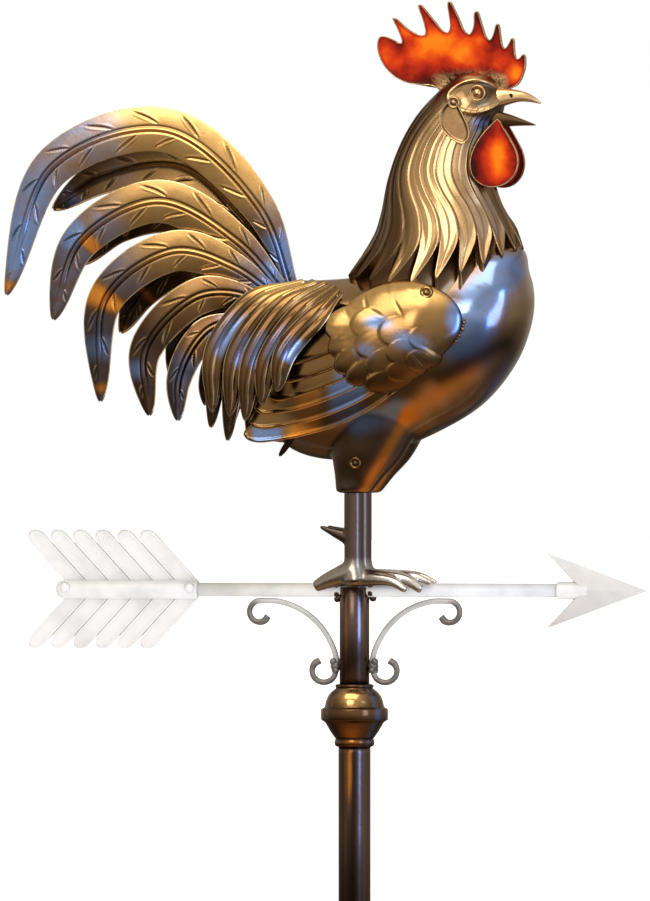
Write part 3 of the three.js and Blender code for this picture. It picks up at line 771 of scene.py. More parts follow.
def curl(centre, degrees, radius):
    angle = math.radians(degrees)
    return centre[0] + math.cos(angle) * radius, centre[1] + math.sin(angle) * radius


def scroll_path(side):
    """A curl at the post, the arm, and a curl under the arrow. Both curls tighten towards their ends."""
    spots = [curl(LOW_CURL, -turn, lerp(13.7, 10, turn / 250)) for turn in range(250, 0, -36)]
    spots += SCROLL_ARM
    spots += [curl(HIGH_CURL, 75 + turn, lerp(12.2, 8.8, turn / 262)) for turn in range(0, 263, 37)]
    return Rail([(side * x, 0, z) for x, z in spots])


def scroll_note(share):
    # Painted shade: the curls darker than the lit middle of the arm.
    curls = 1 - hump(share, 0.3, 0.42, 0.6, 0.72)
    return (0, 0, 0, 0.12 + 0.62 * curls)


def scroll_bar(path):
    """A round bar along a path in the middle plane, rounded off and a little swollen at both ends."""

    def place(u, v):
        share = min(1, max(0, (v - BAR_END) / (1 - 2 * BAR_END)))
        way = path.along(share)
        over = Vector((0, 1, 0)).cross(way).normalized()
        other = way.cross(over)
        end = math.sqrt(max(0, 1 - (1 - min(1, v / BAR_END, (1 - v) / BAR_END)) ** 2))
        swell = 1 + 0.22 * (1 - hump(share, 0.04, 0.12, 0.88, 0.96))
        size = BAR_RADIUS * end * swell
        angle = u * math.tau
        spot = path.at(share) + over * size * math.cos(angle) + other * size * math.sin(angle)
        return spot, scroll_note(share), NO_BLADE

    return skin(14, 150, place)


KNUCKLE = [
    (-19.2, 0, 265, 5.6), (-21.2, -2.6, 269.4, 3.8), (-20.2, 2.6, 260.8, 3.9),
    (-18.4, -2.8, 260.6, 3.4), (-17.8, 2, 270.2, 3.2),
]


def knuckle(side):
    return lumps([(side * x, y, z, size) for x, y, z, size in KNUCKLE], (0, 0, 0, 0.75))


for side, name in ((1, "scroll_rear"), (-1, "scroll_front")):
    piece(name, join([scroll_bar(scroll_path(side)), *knuckle(side)]), pewter, "pewter")
print("scrolls:", TALLY[-2:])

# %% [markdown]
# ## Body
# The body is an egg, from the rump to the breast, between a back line and a belly line, and a thigh grows out
# of it on each side. Booleans would leave hard seams, so the egg and thighs are fused by a voxel remesh and
# softened, which gives the flowing joints of beaten metal. Its painted reflections, highlights and shade are
# laid on after that, from each corner's place. A peg under the belly and a few beads of solder are joined on.

# %% Body lines
BACK = side_rail([
    (-95, 596, 0), (-88, 631, 30), (-66, 649, 45), (-35, 651, 55), (1, 654, 62), (47, 666, 66),
    (98, 682, 66), (139, 690, 61), (163, 681, 49), (177, 658, 30), (183, 631, 0),
])
BELLY = side_rail([
    (-95, 596), (-98, 558), (-91, 512), (-64, 482), (-21, 471), (31, 478),
    (85, 499), (131, 527), (163, 566), (177, 600), (183, 631),
])


def between(upper, lower, share, angle, grow=1.0, lift=0.0):
    """A point on the skin between two rails. The upper rail's depth is the half-width."""
    a, b = upper.at(share), lower.at(share)
    out = (a - b) / 2 * math.cos(angle) * grow
    out.y = -math.sin(angle) * a.y * grow
    out.z += lift
    middle = (a + b) / 2
    middle.y = 0
    return middle + out


def fused(shape, voxel, rounds):
    """Melt overlapping shapes into one soft skin."""
    bmesh.ops.scale(shape, vec=(MM, MM, MM), verts=shape.verts)
    mesh = bpy.data.meshes.new("melt")
    shape.to_mesh(mesh)
    shape.free()
    block = bpy.data.objects.new("melt", mesh)
    bpy.context.collection.objects.link(block)
    remesh = block.modifiers.new("melt", "REMESH")
    remesh.mode = "VOXEL"
    remesh.voxel_size = voxel * MM
    soften = block.modifiers.new("soften", "SMOOTH")
    soften.factor = 0.5
    soften.iterations = rounds
    shape = new_shape()
    shape.from_object(block, bpy.context.evaluated_depsgraph_get())
    bmesh.ops.scale(shape, vec=(1 / MM, 1 / MM, 1 / MM), verts=shape.verts)
    layers = shape.verts.layers
    for kind, name in ((layers.float_color, "patina"), (layers.float_vector, "blade")):
        if name not in kind:
            kind.new(name)
    bpy.data.objects.remove(block)
    bpy.data.meshes.remove(mesh)
    return shape


THIGH_FRONT = side_rail([(22, 438, 13), (35, 454, 16), (54, 475, 22), (72, 510, 30), (82, 542, 37)])
THIGH_REAR = side_rail([(-14, 438), (-15, 452), (-18, 474), (-24, 510), (-30, 542)])
THIGH_PLACE = Vector((0, -23, 0))
THIGH_END = 0.1


def thigh():
    def place(u, v):
        share = min(1, max(0, (v - THIGH_END) / (1 - 2 * THIGH_END)))
        grow = min(1, v / THIGH_END, (1 - v) / THIGH_END)
        spot = between(THIGH_FRONT, THIGH_REAR, share, u * math.tau, grow)
        return spot + THIGH_PLACE, BARE, NO_BLADE

    return skin(40, 30, place)


def egg_place(co):
    share = math.acos(max(-1, min(1, co.z))) / math.pi
    return between(BACK, BELLY, share, math.atan2(co.y, co.x)), BARE, NO_BLADE


def egg():
    shape = new_shape()
    bmesh.ops.create_uvsphere(shape, u_segments=72, v_segments=56, radius=1)
    return sealed(mould(shape, egg_place))


# %% Body
near_thigh = thigh()
far_thigh = mirrored(near_thigh)
body_shape = fused(join([egg(), near_thigh, far_thigh]), voxel=2.7, rounds=8)


def streak(at, start, end, width):
    """A painted band along a line drawn in side view, fading out sideways and at its ends; the body uses it for
    painted reflections, highlights and shade.
    """
    way = Vector((end[0] - start[0], end[1] - start[1]))
    spot = Vector((at.x - start[0], at.z - start[1]))
    share = min(1, max(0, spot.dot(way) / way.length_squared))
    return bell((spot - way * share).length, width)


def body_note(at):
    # Painted light on the polished body: a blue reflection band on the breast, orange tints that are partly
    # painted reflection, painted shade in dark bands below them, gold highlights along the front edge, on the
    # back and on the belly's rim, blue-violet highlights and an orange glint on the thigh, and painted shade
    # under the thighs.
    breast = 1.15 * streak(at, (155, 655), (120, 590), 19)
    orange_tint_and_gleam = streak(at, (130, 562), (68, 520), 13)
    dark = 1.1 * streak(at, (162, 588), (100, 553), 10) + 0.55 * streak(at, (158, 560), (100, 511), 9)
    edge = streak(at, (170, 668), (174, 618), 9)
    back = hump(at.z, 636, 652, 676, 690) * ease(at.x, -60, 40)
    violet = 1.2 * streak(at, (14, 507), (28, 511), 10) + 0.8 * streak(at, (46, 519), (56, 526), 8)
    glow = streak(at, (64, 516), (17, 442), 6)
    thighs = ease(512 - at.z, 0, 20) * ease(90 - at.x, 0, 30)
    rim = max(streak(at, (85, 499), (131, 527), 4), streak(at, (131, 527), (163, 566), 4))
    gold = 0.24 + 0.35 * edge * (1 - min(1, breast)) + 0.14 * back + 0.3 * orange_tint_and_gleam + 0.4 * rim
    blue = min(1, 0.24 + breast + 0.85 * violet + 0.3 * rim)
    shade = 0.75 * dark * (1 - rim) + 0.5 * thighs * (1 - glow)
    return (gold, blue, min(1, 0.55 * orange_tint_and_gleam + 0.8 * glow), min(0.85, shade))


BREAST_SWELL = 13


def swollen(co):
    """The breast filled out a little where the hackle's front tips lie on it."""
    return co + Vector((BREAST_SWELL * ease(co.z, 655, 695) * ease(co.x, 118, 165), 0, 0))


PEG = [(0, -15), (1.8, -13.5), (3.0, -8), (3.4, 0), (2.8, 8), (1.4, 14), (0, 15)]
PEG_PLACE = Vector((-62, -30, 487))
PEG_LEAN = math.radians(35)


def peg():
    """The dark peg that sticks out behind the legs, leaning back."""

    def place(co):
        x = co.x * math.cos(PEG_LEAN) + co.z * math.sin(PEG_LEAN)
        z = co.z * math.cos(PEG_LEAN) - co.x * math.sin(PEG_LEAN)
        return Vector((x, co.y, z)) + PEG_PLACE, (0, 0, 0, 0.8), NO_BLADE

    return mould(turned(PEG, 16), place)


SOLDER = [
    (-72, -6, 650, 3.4), (-77, -9, 646, 2.6), (-106, -22, 637, 2.8), (-12, -56, 632, 2.8),
    (-6, -54, 634, 2.2),
]
mould(body_shape, lambda co: (swollen(co), body_note(co), NO_BLADE))
body_tree = BVHTree.FromBMesh(body_shape)
solder = lumps(SOLDER, (0.6, 0, 0, 0.3))
piece("body", join([body_shape, peg(), *solder]), formed_metal, "aged_brass")

# %% [markdown]
# ## The flank
# Wing and shoulder lie over the side of the body, so their places are drawn in side view and dropped on to
# the flank. A table of the flank's depth is worked out once. Behind the rump it runs on at the depth that
# the hanging feathers keep.

# %% Flank table
FLANK_STEP = 3.0
FLANK_X = np.arange(-170, 206, FLANK_STEP)
FLANK_Z = np.arange(440, 716, FLANK_STEP)


def eased(values, low, high):
    """The same easing for a whole table."""
    share = np.clip((values - low) / (high - low), 0, 1)
    return share * share * (3 - 2 * share)


def flank_table():
    shares = np.linspace(0.02, 0.98, 1200)
    back = np.array([BACK.work_out(s) for s in shares])
    belly = np.array([BELLY.work_out(s) for s in shares])
    table = np.zeros((len(FLANK_X), len(FLANK_Z)))
    for k, z in enumerate(FLANK_Z):
        share = (2 * z - back[:, 2] - belly[:, 2]) / (back[:, 2] - belly[:, 2])
        reached = (back[:, 0] + belly[:, 0]) / 2 + share * (back[:, 0] - belly[:, 0]) / 2
        depth = back[:, 1] * np.sqrt(1 - np.clip(np.abs(share), 0, 0.985) ** 2)
        order = np.argsort(reached)
        table[:, k] = np.interp(FLANK_X, reached[order], depth[order])
    x, z = np.meshgrid(FLANK_X, FLANK_Z, indexing="ij")
    hanging = (24 + 23 * eased(655 - z, 0, 60)) * eased(120 - x, 0, 140)
    over = table - hanging
    return hanging + (over + np.hypot(over, 6)) / 2


FLANK = flank_table()
SLOPE_X, SLOPE_Z = np.gradient(FLANK, FLANK_STEP)


def on_flank(x, z, lift):
    """The spot on the near flank at x and z, lifted off it squarely."""
    i = min(max((x - FLANK_X[0]) / FLANK_STEP, 0), len(FLANK_X) - 1.001)
    k = min(max((z - FLANK_Z[0]) / FLANK_STEP, 0), len(FLANK_Z) - 1.001)
    a, b, s, t = int(i), int(k), i % 1, k % 1

    def read(table):
        low = lerp(table[a, b], table[a + 1, b], s)
        high = lerp(table[a, b + 1], table[a + 1, b + 1], s)
        return lerp(low, high, t)

    out = Vector((-read(SLOPE_X), -1, -read(SLOPE_Z))).normalized()
    return Vector((x, -read(FLANK), z)) + out * lift


print("flank depth from", FLANK.min().round(1), "to", FLANK.max().round(1))

# %% [markdown]
# ## Tail
# The tail has a near and a far fan of sickle feathers. Each is a bent strip with a round rib down its middle
# and lens-shaped strokes cut into both sides. The two fans are drawn apart, because the far feathers show
# between the near ones. The tables say where each feather takes its painted gold highlight, how much it darkens
# towards the tip, and where its blue and orange tints lie, which are partly painted reflection.

# %% Sickle feathers
NEAR_FAN = [
    ([(-62, 634), (-96, 723), (-190, 801), (-306, 765), (-353, 637)], 45),
    ([(-66, 632), (-117, 689), (-197, 730), (-276, 690), (-303, 612)], 43),
    ([(-70, 628), (-120, 664), (-180, 680), (-248, 633), (-253, 530)], 41),
    ([(-74, 622), (-123, 638), (-159, 632), (-206, 581), (-201, 516)], 37),
    ([(-80, 608), (-133, 606), (-152, 591), (-170, 553), (-170, 511)], 29),
]
FAR_FAN = [
    ([(-62, 632), (-114, 711), (-183, 766), (-262, 755), (-313, 723)], 40),
    ([(-66, 630), (-124, 681), (-191, 718), (-247, 706), (-285, 668)], 40),
    ([(-70, 626), (-124, 656), (-171, 669), (-222, 641), (-247, 599)], 38),
    ([(-74, 620), (-129, 623), (-155, 619), (-184, 596), (-198, 557)], 32),
    ([(-80, 606), (-136, 591), (-149, 571), (-158, 546), (-163, 526)], 26),
]
FAN_STEP = 4.8
GILT_SHEEN = [(1.0, 0.05), (0.57, 0.40), (0.52, 0.74), (0.17, 1.0), (0.05, 0.9)]
SHEEN_END = (0.96, 0.86, 0.80, 0.78, 0.78)
GREY = (0.52, 0.40, 0.40, 0.25, 0.45)
BLUE_TINTS_AND_GLEAMS = [
    [(0.91, 0.06, 0, 1.0), (0.12, 0.10, 0, 0.9)],
    [(0.75, 0.05, -1, 1.0), (0.92, 0.04, 0, 0.5), (0.10, 0.07, 0, 0.8)],
    [(0.88, 0.05, 0, 0.7), (0.10, 0.07, 0, 0.7)],
    [(0.83, 0.05, -1, 0.7), (0.14, 0.06, 1, 0.6)],
    [(0.35, 0.12, 1, 0.5), (0.80, 0.05, 0, 0.2)],
]
ORANGE_TINTS_AND_GLEAMS = [
    [(0.985, 0.012, 0, 0.7)],
    [(0.735, 0.022, 1, 1.0)],
    [(0.755, 0.028, 0, 1.5), (0.97, 0.015, 0, 0.7)],
    [(0.30, 0.05, 1, 0.3)],
    [],
]


def spots(table, u, side):
    """Soft tints along a feather, partly painted reflection: place, spread, which side it keeps to, and
    strength.
    """
    return sum(strength * bell(u - place, spread) * (1 if keep == 0 else ease(side * keep, -0.5, 0.4))
               for place, spread, keep, strength in table)


def sickle_note(order, far):
    """Painted gold highlight on the arc, darker towards the tip, a grey-blue tint at both ends and blue and
    orange tints that are partly painted reflection, and painted shade on the far fan, the lower feathers and
    the root.
    """
    gilt_sheen, tip_dark = GILT_SHEEN[order]
    far_shade_dim = 0.5 if far else 1.0

    def note(u, side):
        gold = gilt_sheen * (0.18 + 0.82 * hump(u, 0.14, 0.34, 0.46, SHEEN_END[order]))
        ember = spots(ORANGE_TINTS_AND_GLEAMS[order], u, side)
        grey = GREY[order] * (1 - hump(u, 0.18, 0.36, 0.5, 0.68))
        blue = max(grey, spots(BLUE_TINTS_AND_GLEAMS[order], u, side)) * (1 - min(1, ember))
        shade = (0.45 if far else 0.07 * order) + tip_dark * ease(u, 0.45, 0.85) + 0.3 * ease(0.16 - u, 0, 0.14)
        tint_and_gleam = min(1, max(0, ember + blue - grey))
        return (gold * far_shade_dim, blue * far_shade_dim, ember * far_shade_dim, min(0.88, shade) * (1 - 0.7 * tint_and_gleam))

    return note


def sickle(points, width, order, far):
    start, splay = 3 + FAN_STEP * order, 14 + 3 * order
    last = len(points) - 1
    spine = side_rail([(x, z, -start - splay * i / last) for i, (x, z) in enumerate(points)])
    rows, across = (round(spine.length() / 1.5), 30) if far else (round(spine.length()), 42)
    note = sickle_note(order, far)
    return feather(spine, width, note, along=rows, across=across, crown=1.8, rib=1.6, strokes=True)


for fan, flank in ((NEAR_FAN, "near"), (FAR_FAN, "far")):
    for order, (points, width) in enumerate(fan):
        blade = sickle(points, width, order, flank == "far")
        blade = mirrored(blade) if flank == "far" else blade
        piece(f"sickle_{flank}_{order + 1}", blade, feather_metal, "aged_brass", wall=2.2, edge=0.45)
print("tail:", TALLY[-10:])

# %% [markdown]
# ## Saddle
# Long narrow feathers hang from the back over the rump and the wing. At the root each lies on the slope of
# the back, and at its tip it hangs upright, so it leans less and less along its length. Each has a midrib
# and a fine ridge on both sides of it.

# %% Saddle feathers
SADDLE = [
    [(-51, 645, -24), (-86, 628, -42), (-125, 575, -49), (-137, 504, -46)],
    [(-45, 645, -26), (-77, 625, -46), (-108, 569, -53), (-119, 491, -50)],
    [(-46, 648, -28), (-89, 633, -47), (-129, 581, -57), (-133, 519, -57)],
    [(-32, 647, -30), (-69, 628, -52), (-106, 576, -62), (-114, 515, -62)],
    [(-22, 647, -32), (-54, 626, -56), (-89, 571, -67), (-97, 511, -68)],
    [(-12, 643, -38), (-39, 620, -62), (-72, 571, -72), (-79, 527, -74)],
    [(-6, 638, -48), (-23, 616, -67), (-54, 578, -77), (-62, 540, -80)],
]


SADDLE_WIDTH = 24
SADDLE_SHEEN = (1.0, 1.0, 1.0, 0.7, 0.35, 0.2, 0.15)


def saddle_note(order):
    drift = 0.05 * math.sin(order * 2.3)

    def note(u, side):
        # Painted gold highlight at the root, a blue tint in the middle that is partly painted reflection, and
        # painted shade on the two rear feathers, towards the tip, in a band before the middle and along both
        # edges.
        gold = SADDLE_SHEEN[order] * (1 - 0.9 * ease(u, 0.26 + drift, 0.46 + drift))
        blue = 0.95 * hump(u, 0.42 + drift, 0.55 + drift, 0.64 + drift, 0.8) * (0.6 + 0.45 * side)
        shade = 0.5 if order < 2 else 0.0
        shade = shade + 0.45 * ease(u, 0.66, 0.86) + 0.4 * hump(u, 0.34, 0.42, 0.46, 0.56)
        shade = shade + 0.3 * ease(abs(side), 0.6, 1.0) * ease(u, 0.1, 0.3)
        return (gold, blue, 0.0, min(0.85, shade))

    return note


for order, points in enumerate(SADDLE):
    blade = feather(
        side_rail(points), SADDLE_WIDTH, saddle_note(order), along=56, across=20, crown=2.2, rib=0.9,
        root=0.5, lean=(50, 2), ripple=0.3,
    )
    both_flanks(f"saddle_feather_{order + 1}", blade, sheet_metal, "aged_brass", wall=1.8, edge=0.4)
print("saddle:", len(SADDLE), "on each flank")

# %% [markdown]
# ## Wings
# The long feathers are straps laid like shingles, each with its lower edge over the one below, and a beaten
# shoulder cover sits on their roots. The cover's rear is worked into round scales.
# Each strap and scale is dropped on to the flank at its own lift.

# %% Long wing feathers
LONG_FEATHERS = [
    ((94, 576), (-102, 498), 19, 0.5, 0.8),
    ((89, 584), (-96, 511), 16, 0.85, 0.45),
    ((83, 593), (-90, 525), 13, 0.9, 0.6),
    ((77, 603), (-75, 539), 10, 0.6, 0.2),
    ((70, 614), (-60, 557), 8, 0.1, 0.0),
    ((62, 627), (-54, 574), 7, 0.0, 0.0),
]


def long_feather(order):
    """A strap from root to tip with its sag, and how much blue and orange tint it has, partly painted
    reflection.
    """
    root, tip, sag, blue_tint_and_gleam, heat = LONG_FEATHERS[order]
    lift = 2.6 + 1.2 * order

    def place(u, v):
        side = 2 * v - 1
        closing = math.sqrt(max(0.0025, 1 - max(0, (u - 0.9) / 0.1003) ** 2))
        half = lerp(5, 10.2, ease(u, 0, 0.4)) * closing
        x = lerp(root[0], tip[0], u)
        z = lerp(root[1], tip[1], u) - sag * 4 * u * (1 - u) + side * half
        height = lift + 1.3 * (1 - side) / 2 + 1.4 * bell(side + 0.88, 0.11)
        blue = blue_tint_and_gleam * hump(u, 0.26, 0.42, 0.46, 0.62)
        if order == 0:
            blue = blue + 0.7 * hump(u, 0.74, 0.86, 0.92, 1.0)
        ember = heat * hump(u, 0.54, 0.64, 0.7, 0.84)
        # Painted shadow of the strap above on each strap's upper part; the blade note paints the lower edge
        # bright.
        shade = 0.5 * ease(side, 0.35, 0.9) + 0.12
        return on_flank(x, z, height), (0.2, blue, ember, shade), (min(side, 0) * half, half, 0)

    return sheet(72, 12, place)


blades = [long_feather(order) for order in range(len(LONG_FEATHERS))]
for blade in blades:
    bmesh.ops.reverse_faces(blade, faces=blade.faces)
both_flanks("wing_feathers", join(blades), sheet_metal, "aged_brass", wall=1.6, edge=0.4)

# %% Shoulder cover
COVER = {"x": 57, "z": 600, "length": 67, "height": 42, "tilt": 14, "rise": 9}
COVER_FACE = 0.86
SCALES = [
    (7, 604, 23, 15, 20, 2.6), (11, 586, 23, 14, 20, 2.6), (18, 571, 24, 13, 22, 2.6),
    (31, 560, 25, 12, 20, 2.5), (50, 552, 26, 11, 12, 2.2), (34, 604, 20, 13, 18, 1.0),
    (40, 586, 21, 13, 20, 1.2), (49, 571, 21, 11, 18, 1.2), (69, 563, 21, 10, 10, 1.0),
    (62, 597, 19, 13, 12, 0.7), (68, 580, 18, 11, 14, 0.9), (86, 573, 18, 10, 8, 0.6),
    (88, 592, 15, 11, 8, 0.5),
]
TICKS = [(48, 637, 60), (28, 622, 70), (8, 612, 50), (63, 617, 55), (78, 628, 40), (40, 612, 20)]


def shoulder_lift(x):
    return lerp(9.3, 1.5, ease(x, 70, 118))


def in_ellipse(px, pz, x, z, length, height, tilt, *_):
    """How far out a spot lies in a tilted ellipse, 1 at its edge, and how far towards its rear, -1 to 1."""
    turn = math.radians(tilt)
    along = ((px - x) * math.cos(turn) + (pz - z) * math.sin(turn)) / length
    up = ((pz - z) * math.cos(turn) - (px - x) * math.sin(turn)) / height
    return math.hypot(along, up), -along


def scale_relief(px, pz):
    """Overlapping scales: each is tucked in at its front and stands proud along its round rear edge."""
    best, edge = 0.0, 0.0
    for scale in SCALES:
        out, rear = in_ellipse(px, pz, *scale)
        if out < 1:
            height = scale[-1] * ease(rear, -0.5, 0.8) * (1 - 0.7 * ease(out, 0.9, 1.0))
            if height > best:
                best, edge = height, ease(out, 0.8, 0.9) * ease(rear, -0.2, 0.4) * scale[-1] / 2.6
    for x, z, tilt in TICKS:
        out, _ = in_ellipse(px, pz, x, z, 6, 1.6, -tilt)
        best = best - 0.7 * bell(out, 0.9)
    return best, edge


def cover_reach(angle):
    """The cover's outline from its middle: an ellipse, let out where a scale reaches past it."""
    turn = math.radians(COVER["tilt"])
    reach = 1 / math.hypot(math.cos(angle - turn) / COVER["length"], math.sin(angle - turn) / COVER["height"])
    for step in range(40):
        far = reach + 1.0 * (40 - step)
        spot = (COVER["x"] + far * math.cos(angle), COVER["z"] + far * math.sin(angle))
        if any(in_ellipse(*spot, *scale)[0] < 1 for scale in SCALES):
            return far
    return reach


def cover_note(px, pz, ring, edge):
    # Painted light on the shoulder cover: a gold highlight on the upper part and along the scale edges, blue
    # tints and an orange one low down that are partly painted reflection, and painted shade at the rim and on
    # the lower part.
    gold = 0.16 + 0.74 * ease(pz + 0.25 * (60 - px), 592, 626)
    gold = max(gold * (1 - 0.7 * bell(px - 120, 10)), 0.85 * edge)
    blue = 0.75 * bell(px - 42, 16) * bell(pz - 604, 7) + 0.8 * bell(px - 74, 18) * bell(pz - 588, 10)
    blue = blue + bell(px - 119, 11) * bell(pz - 612, 22) + 0.6 * bell(px - 30, 14) * bell(pz - 578, 9)
    ember = 0.5 * bell(pz - 562, 9) * bell(px - 70, 30)
    shade = 0.4 * ease(ring, 0.94, 1.0) + 0.3 * ease(584 - pz, 0, 14)
    return (gold, min(1, blue) * (1 - edge), ember, shade * (1 - edge))


def shoulder_cover():
    outline = {}

    def place(u, v):
        angle = (u % 1) * math.tau
        if u not in outline:
            outline[u] = cover_reach(angle)
        ring = v / COVER_FACE if v < COVER_FACE else (1 - v) / (1 - COVER_FACE)
        px = COVER["x"] + math.cos(angle) * ring * outline[u]
        pz = COVER["z"] + math.sin(angle) * ring * outline[u]
        lift, edge = shoulder_lift(px), 0.0
        if v < COVER_FACE:
            relief, edge = scale_relief(px, pz)
            lift = lift + 1.5 + COVER["rise"] * math.sqrt(max(0, 1 - ring ** 2.4))
            lift = lift + relief * (1 - 0.5 * ease(ring, 0.97, 1))
        return on_flank(px, pz, lift), cover_note(px, pz, ring, edge), NO_BLADE

    return skin(216, 70, place)


SEAM = [
    (125, 611, 1.6), (124.5, 608, 2.3), (123.5, 605, 1.8), (123, 601.5, 2.5), (121, 598.5, 1.9),
    (119.5, 595, 2.6), (117.5, 592.5, 1.7), (116, 589.5, 2.2), (113.5, 587, 1.5),
]
SEAM_LIFT = 0.4
SEAM_NOTE = (0.45, 0.25, 0, 0.3)
seam = [lump(on_flank(x, z, SEAM_LIFT), size, SEAM_NOTE) for x, z, size in SEAM]
shoulder = join([shoulder_cover(), *seam])
shoulder_tree = BVHTree.FromBMesh(shoulder)
both_flanks("wing_shoulder", shoulder, beaten_metal, "aged_brass")
print("wings:", TALLY[-4:])

# %% [markdown]
# ## Hackle and head
# The neck is one skin from the pointed hackle tips up into the head. Its columns are gathered into strands
# that are laid like shingles: each has a fine lip at its front edge, slopes down to the next, and ends in a
# point. The strands swing forward and back on their way up. Near the top they fade, and the face is worked
# in: a leaf-shaped ridge round the eye. Below the tips the skin turns under and closes on the body.

# %% Hackle
NAPE = side_rail([
    (-6, 655), (18, 688), (28, 716), (35, 751), (47, 785), (65, 816), (86, 839), (106, 855),
])
THROAT = side_rail([
    (172, 681, 63), (161, 706, 55), (149, 728, 48), (142, 751, 42),
    (140, 778, 37), (146, 804, 33), (153, 829, 29), (141, 854, 20),
])
HACKLES = 22
EYE = (130.5, 837.0)


LEAF_X, LEAF_Z = 127, 834
LEAF_LONG, LEAF_HIGH = 26.5, 16.5
LEAF_POWER = 1.7


def leaf_gap(x, z):
    """How far outside the leaf-shaped face a spot lies, in side view."""
    t, s = abs(x - LEAF_X) / LEAF_LONG, abs(z - LEAF_Z) / LEAF_HIGH
    less = LEAF_POWER - 1
    slope = LEAF_POWER * math.hypot(t ** less / LEAF_LONG, s ** less / LEAF_HIGH)
    return (t ** LEAF_POWER + s ** LEAF_POWER - 1) / max(slope, 0.03)


def face_relief(x, z):
    """A raised rim round the leaf-shaped face, hollow inside, and a hollow cheek below."""
    gap = leaf_gap(x, z)
    cheek = -2.6 * bell(x - 140, 13) * bell(z - 808, 8)
    return (2.0 * bell(gap, 1.5) - 1.5 * ease(-gap, 1, 5) + cheek) * ease(x, 92, 104)


def hackle_swing(share):
    """How far the strands swing forward and back on their way up, in radians."""
    return 0.13 * hump(share, 0.0, 0.2, 0.22, 0.36) - 0.27 * hump(share, 0.28, 0.5, 0.56, 0.9)


def hackle_height(share, column):
    """Strands laid like shingles: each has a fine lip at its front edge and slopes down to the next."""
    f = (column * HACKLES / math.tau + 0.5) % 1
    half = (2 * f) % 1
    fade = 1 - ease(share, 0.62, 0.86)
    height = 1.2 * (1 - f) * ease(f, 0.0, 0.1) + 0.4 * bell(f - 0.11, 0.05) - 1.0
    height = height + 0.6 * (1 - half) * ease(half, 0, 0.16)
    groove = bell(min(f, 1 - f) - 0.01, 0.045) + 0.4 * bell(min(half, 1 - half), 0.07)
    return height * fade, min(1, groove) * fade, bell(f - 0.13, 0.06) * fade


def hackle_note(share, column, groove, lit, spot):
    # Painted light on neck and face: a gold highlight on the sides of the neck, blue tints low at the front and
    # on the cheek that are partly painted reflection, highlights on the strand lips and the leaf's ridge, and
    # painted shade in the grooves, on the nape side, at the throat, on the brow, round the eye and beside the
    # ridge.
    near, front = math.sin(column), math.cos(column)
    gold = ease(abs(near), 0.2, 0.8) * (1 - 0.4 * ease(front, 0.2, 0.7))
    gold = 0.10 + 0.80 * gold * (1 - 0.95 * ease(-front, 0.15, 0.6))
    blue = 0.3 * hump(front, 0.2, 0.5, 0.9, 1.0) * hump(share, 0.02, 0.12, 0.3, 0.5)
    throat = bell(spot.x - 133, 13) * bell(spot.z - 793, 21) * ease(spot.z, 760, 778)
    gold = gold * (1 - 0.6 * throat)
    blue = blue + 0.4 * throat
    shade = 0.55 * groove + 0.4 * ease(-front, 0.3, 0.75) + 0.6 * throat
    if spot.z > 798 and spot.x > 96:
        gap = leaf_gap(spot.x, spot.z)
        inside = ease(-gap, 0.5, 3)
        brow = inside * ease(spot.z, 829, 842)
        cheek = bell(spot.x - 140, 14) * bell(spot.z - 808, 9)
        socket = inside * bell(math.hypot(spot.x - EYE[0], spot.z - EYE[1]) - 10.5, 2.5)
        gold = max(lerp(gold, 0.56, inside), bell(gap, 1.4)) * (1 - 0.5 * cheek)
        blue = blue + 0.4 * cheek
        front_of_face = bell(spot.x - 138, 8) * bell(spot.z - 829, 6)
        shade = shade + 0.9 * brow + 0.5 * cheek + 0.5 * bell(gap - 2.8, 0.9)
        shade = shade + 0.4 * front_of_face + 0.55 * socket
    return (min(1, gold * (1 - 0.5 * groove) + 0.35 * lit), blue, 0.05, min(0.85, shade))


UNDERSIDE = 0.009
FACE_FOOT = 796


def hackle_place(u, v):
    column = (u - 0.5) * math.tau
    inner = v < UNDERSIDE
    rise = max(0, (v - UNDERSIDE) / (1 - UNDERSIDE))
    f = (column * HACKLES / math.tau + 0.5) % 1 - 0.5
    rim = 0.165 * abs(2 * f) ** 1.2
    share = rim + (1 - rim) * min(1, rise / 0.95)
    angle = column - hackle_swing(share) * math.sin(column)
    height, groove, lit = hackle_height(share, column)
    flare = 1.6 * (1 - ease(share - rim, 0, 0.1)) * (1 - ease(share, 0.1, 0.3))
    close = math.sqrt(max(0, 1 - (max(0, rise - 0.93) / 0.07) ** 2))
    lift = -20 * math.sin(angle) ** 2 * (1 - ease(share, 0, 0.35))
    spot = between(THROAT, NAPE, share, angle, 1, lift)
    middle = between(THROAT, NAPE, share, angle, 0, 0)
    out = (spot - middle - Vector((0, 0, lift))).normalized()
    height = height + flare - (1.5 if inner else 0)
    if spot.z > FACE_FOOT:
        shown = ease(spot.z, FACE_FOOT, FACE_FOOT + 10) * ease(abs(out.y), 0.1, 0.6)
        height = height + face_relief(spot.x, spot.z) * shown
    spot = spot + out * height
    crown = middle + Vector((0, 0, 5.0 * (1 - close * close)))
    spot = crown.lerp(spot, close) if close < 1 else spot
    if v < UNDERSIDE / 2:
        down = Vector((0, 0, -1))
        below = body_tree.ray_cast(spot, down, 60)[0] if abs(math.sin(column)) > 0.62 else None
        spot = (below or body_tree.find_nearest(spot)[0]) + down
    note = (0.2, 0, 0, 0.1) if inner else hackle_note(share, column, groove, lit, spot)
    return spot, note, NO_BLADE


hackle = skin(HACKLES * 14, 150, hackle_place)
head_tree = BVHTree.FromBMesh(hackle)
print("hackle corners:", len(hackle.verts))

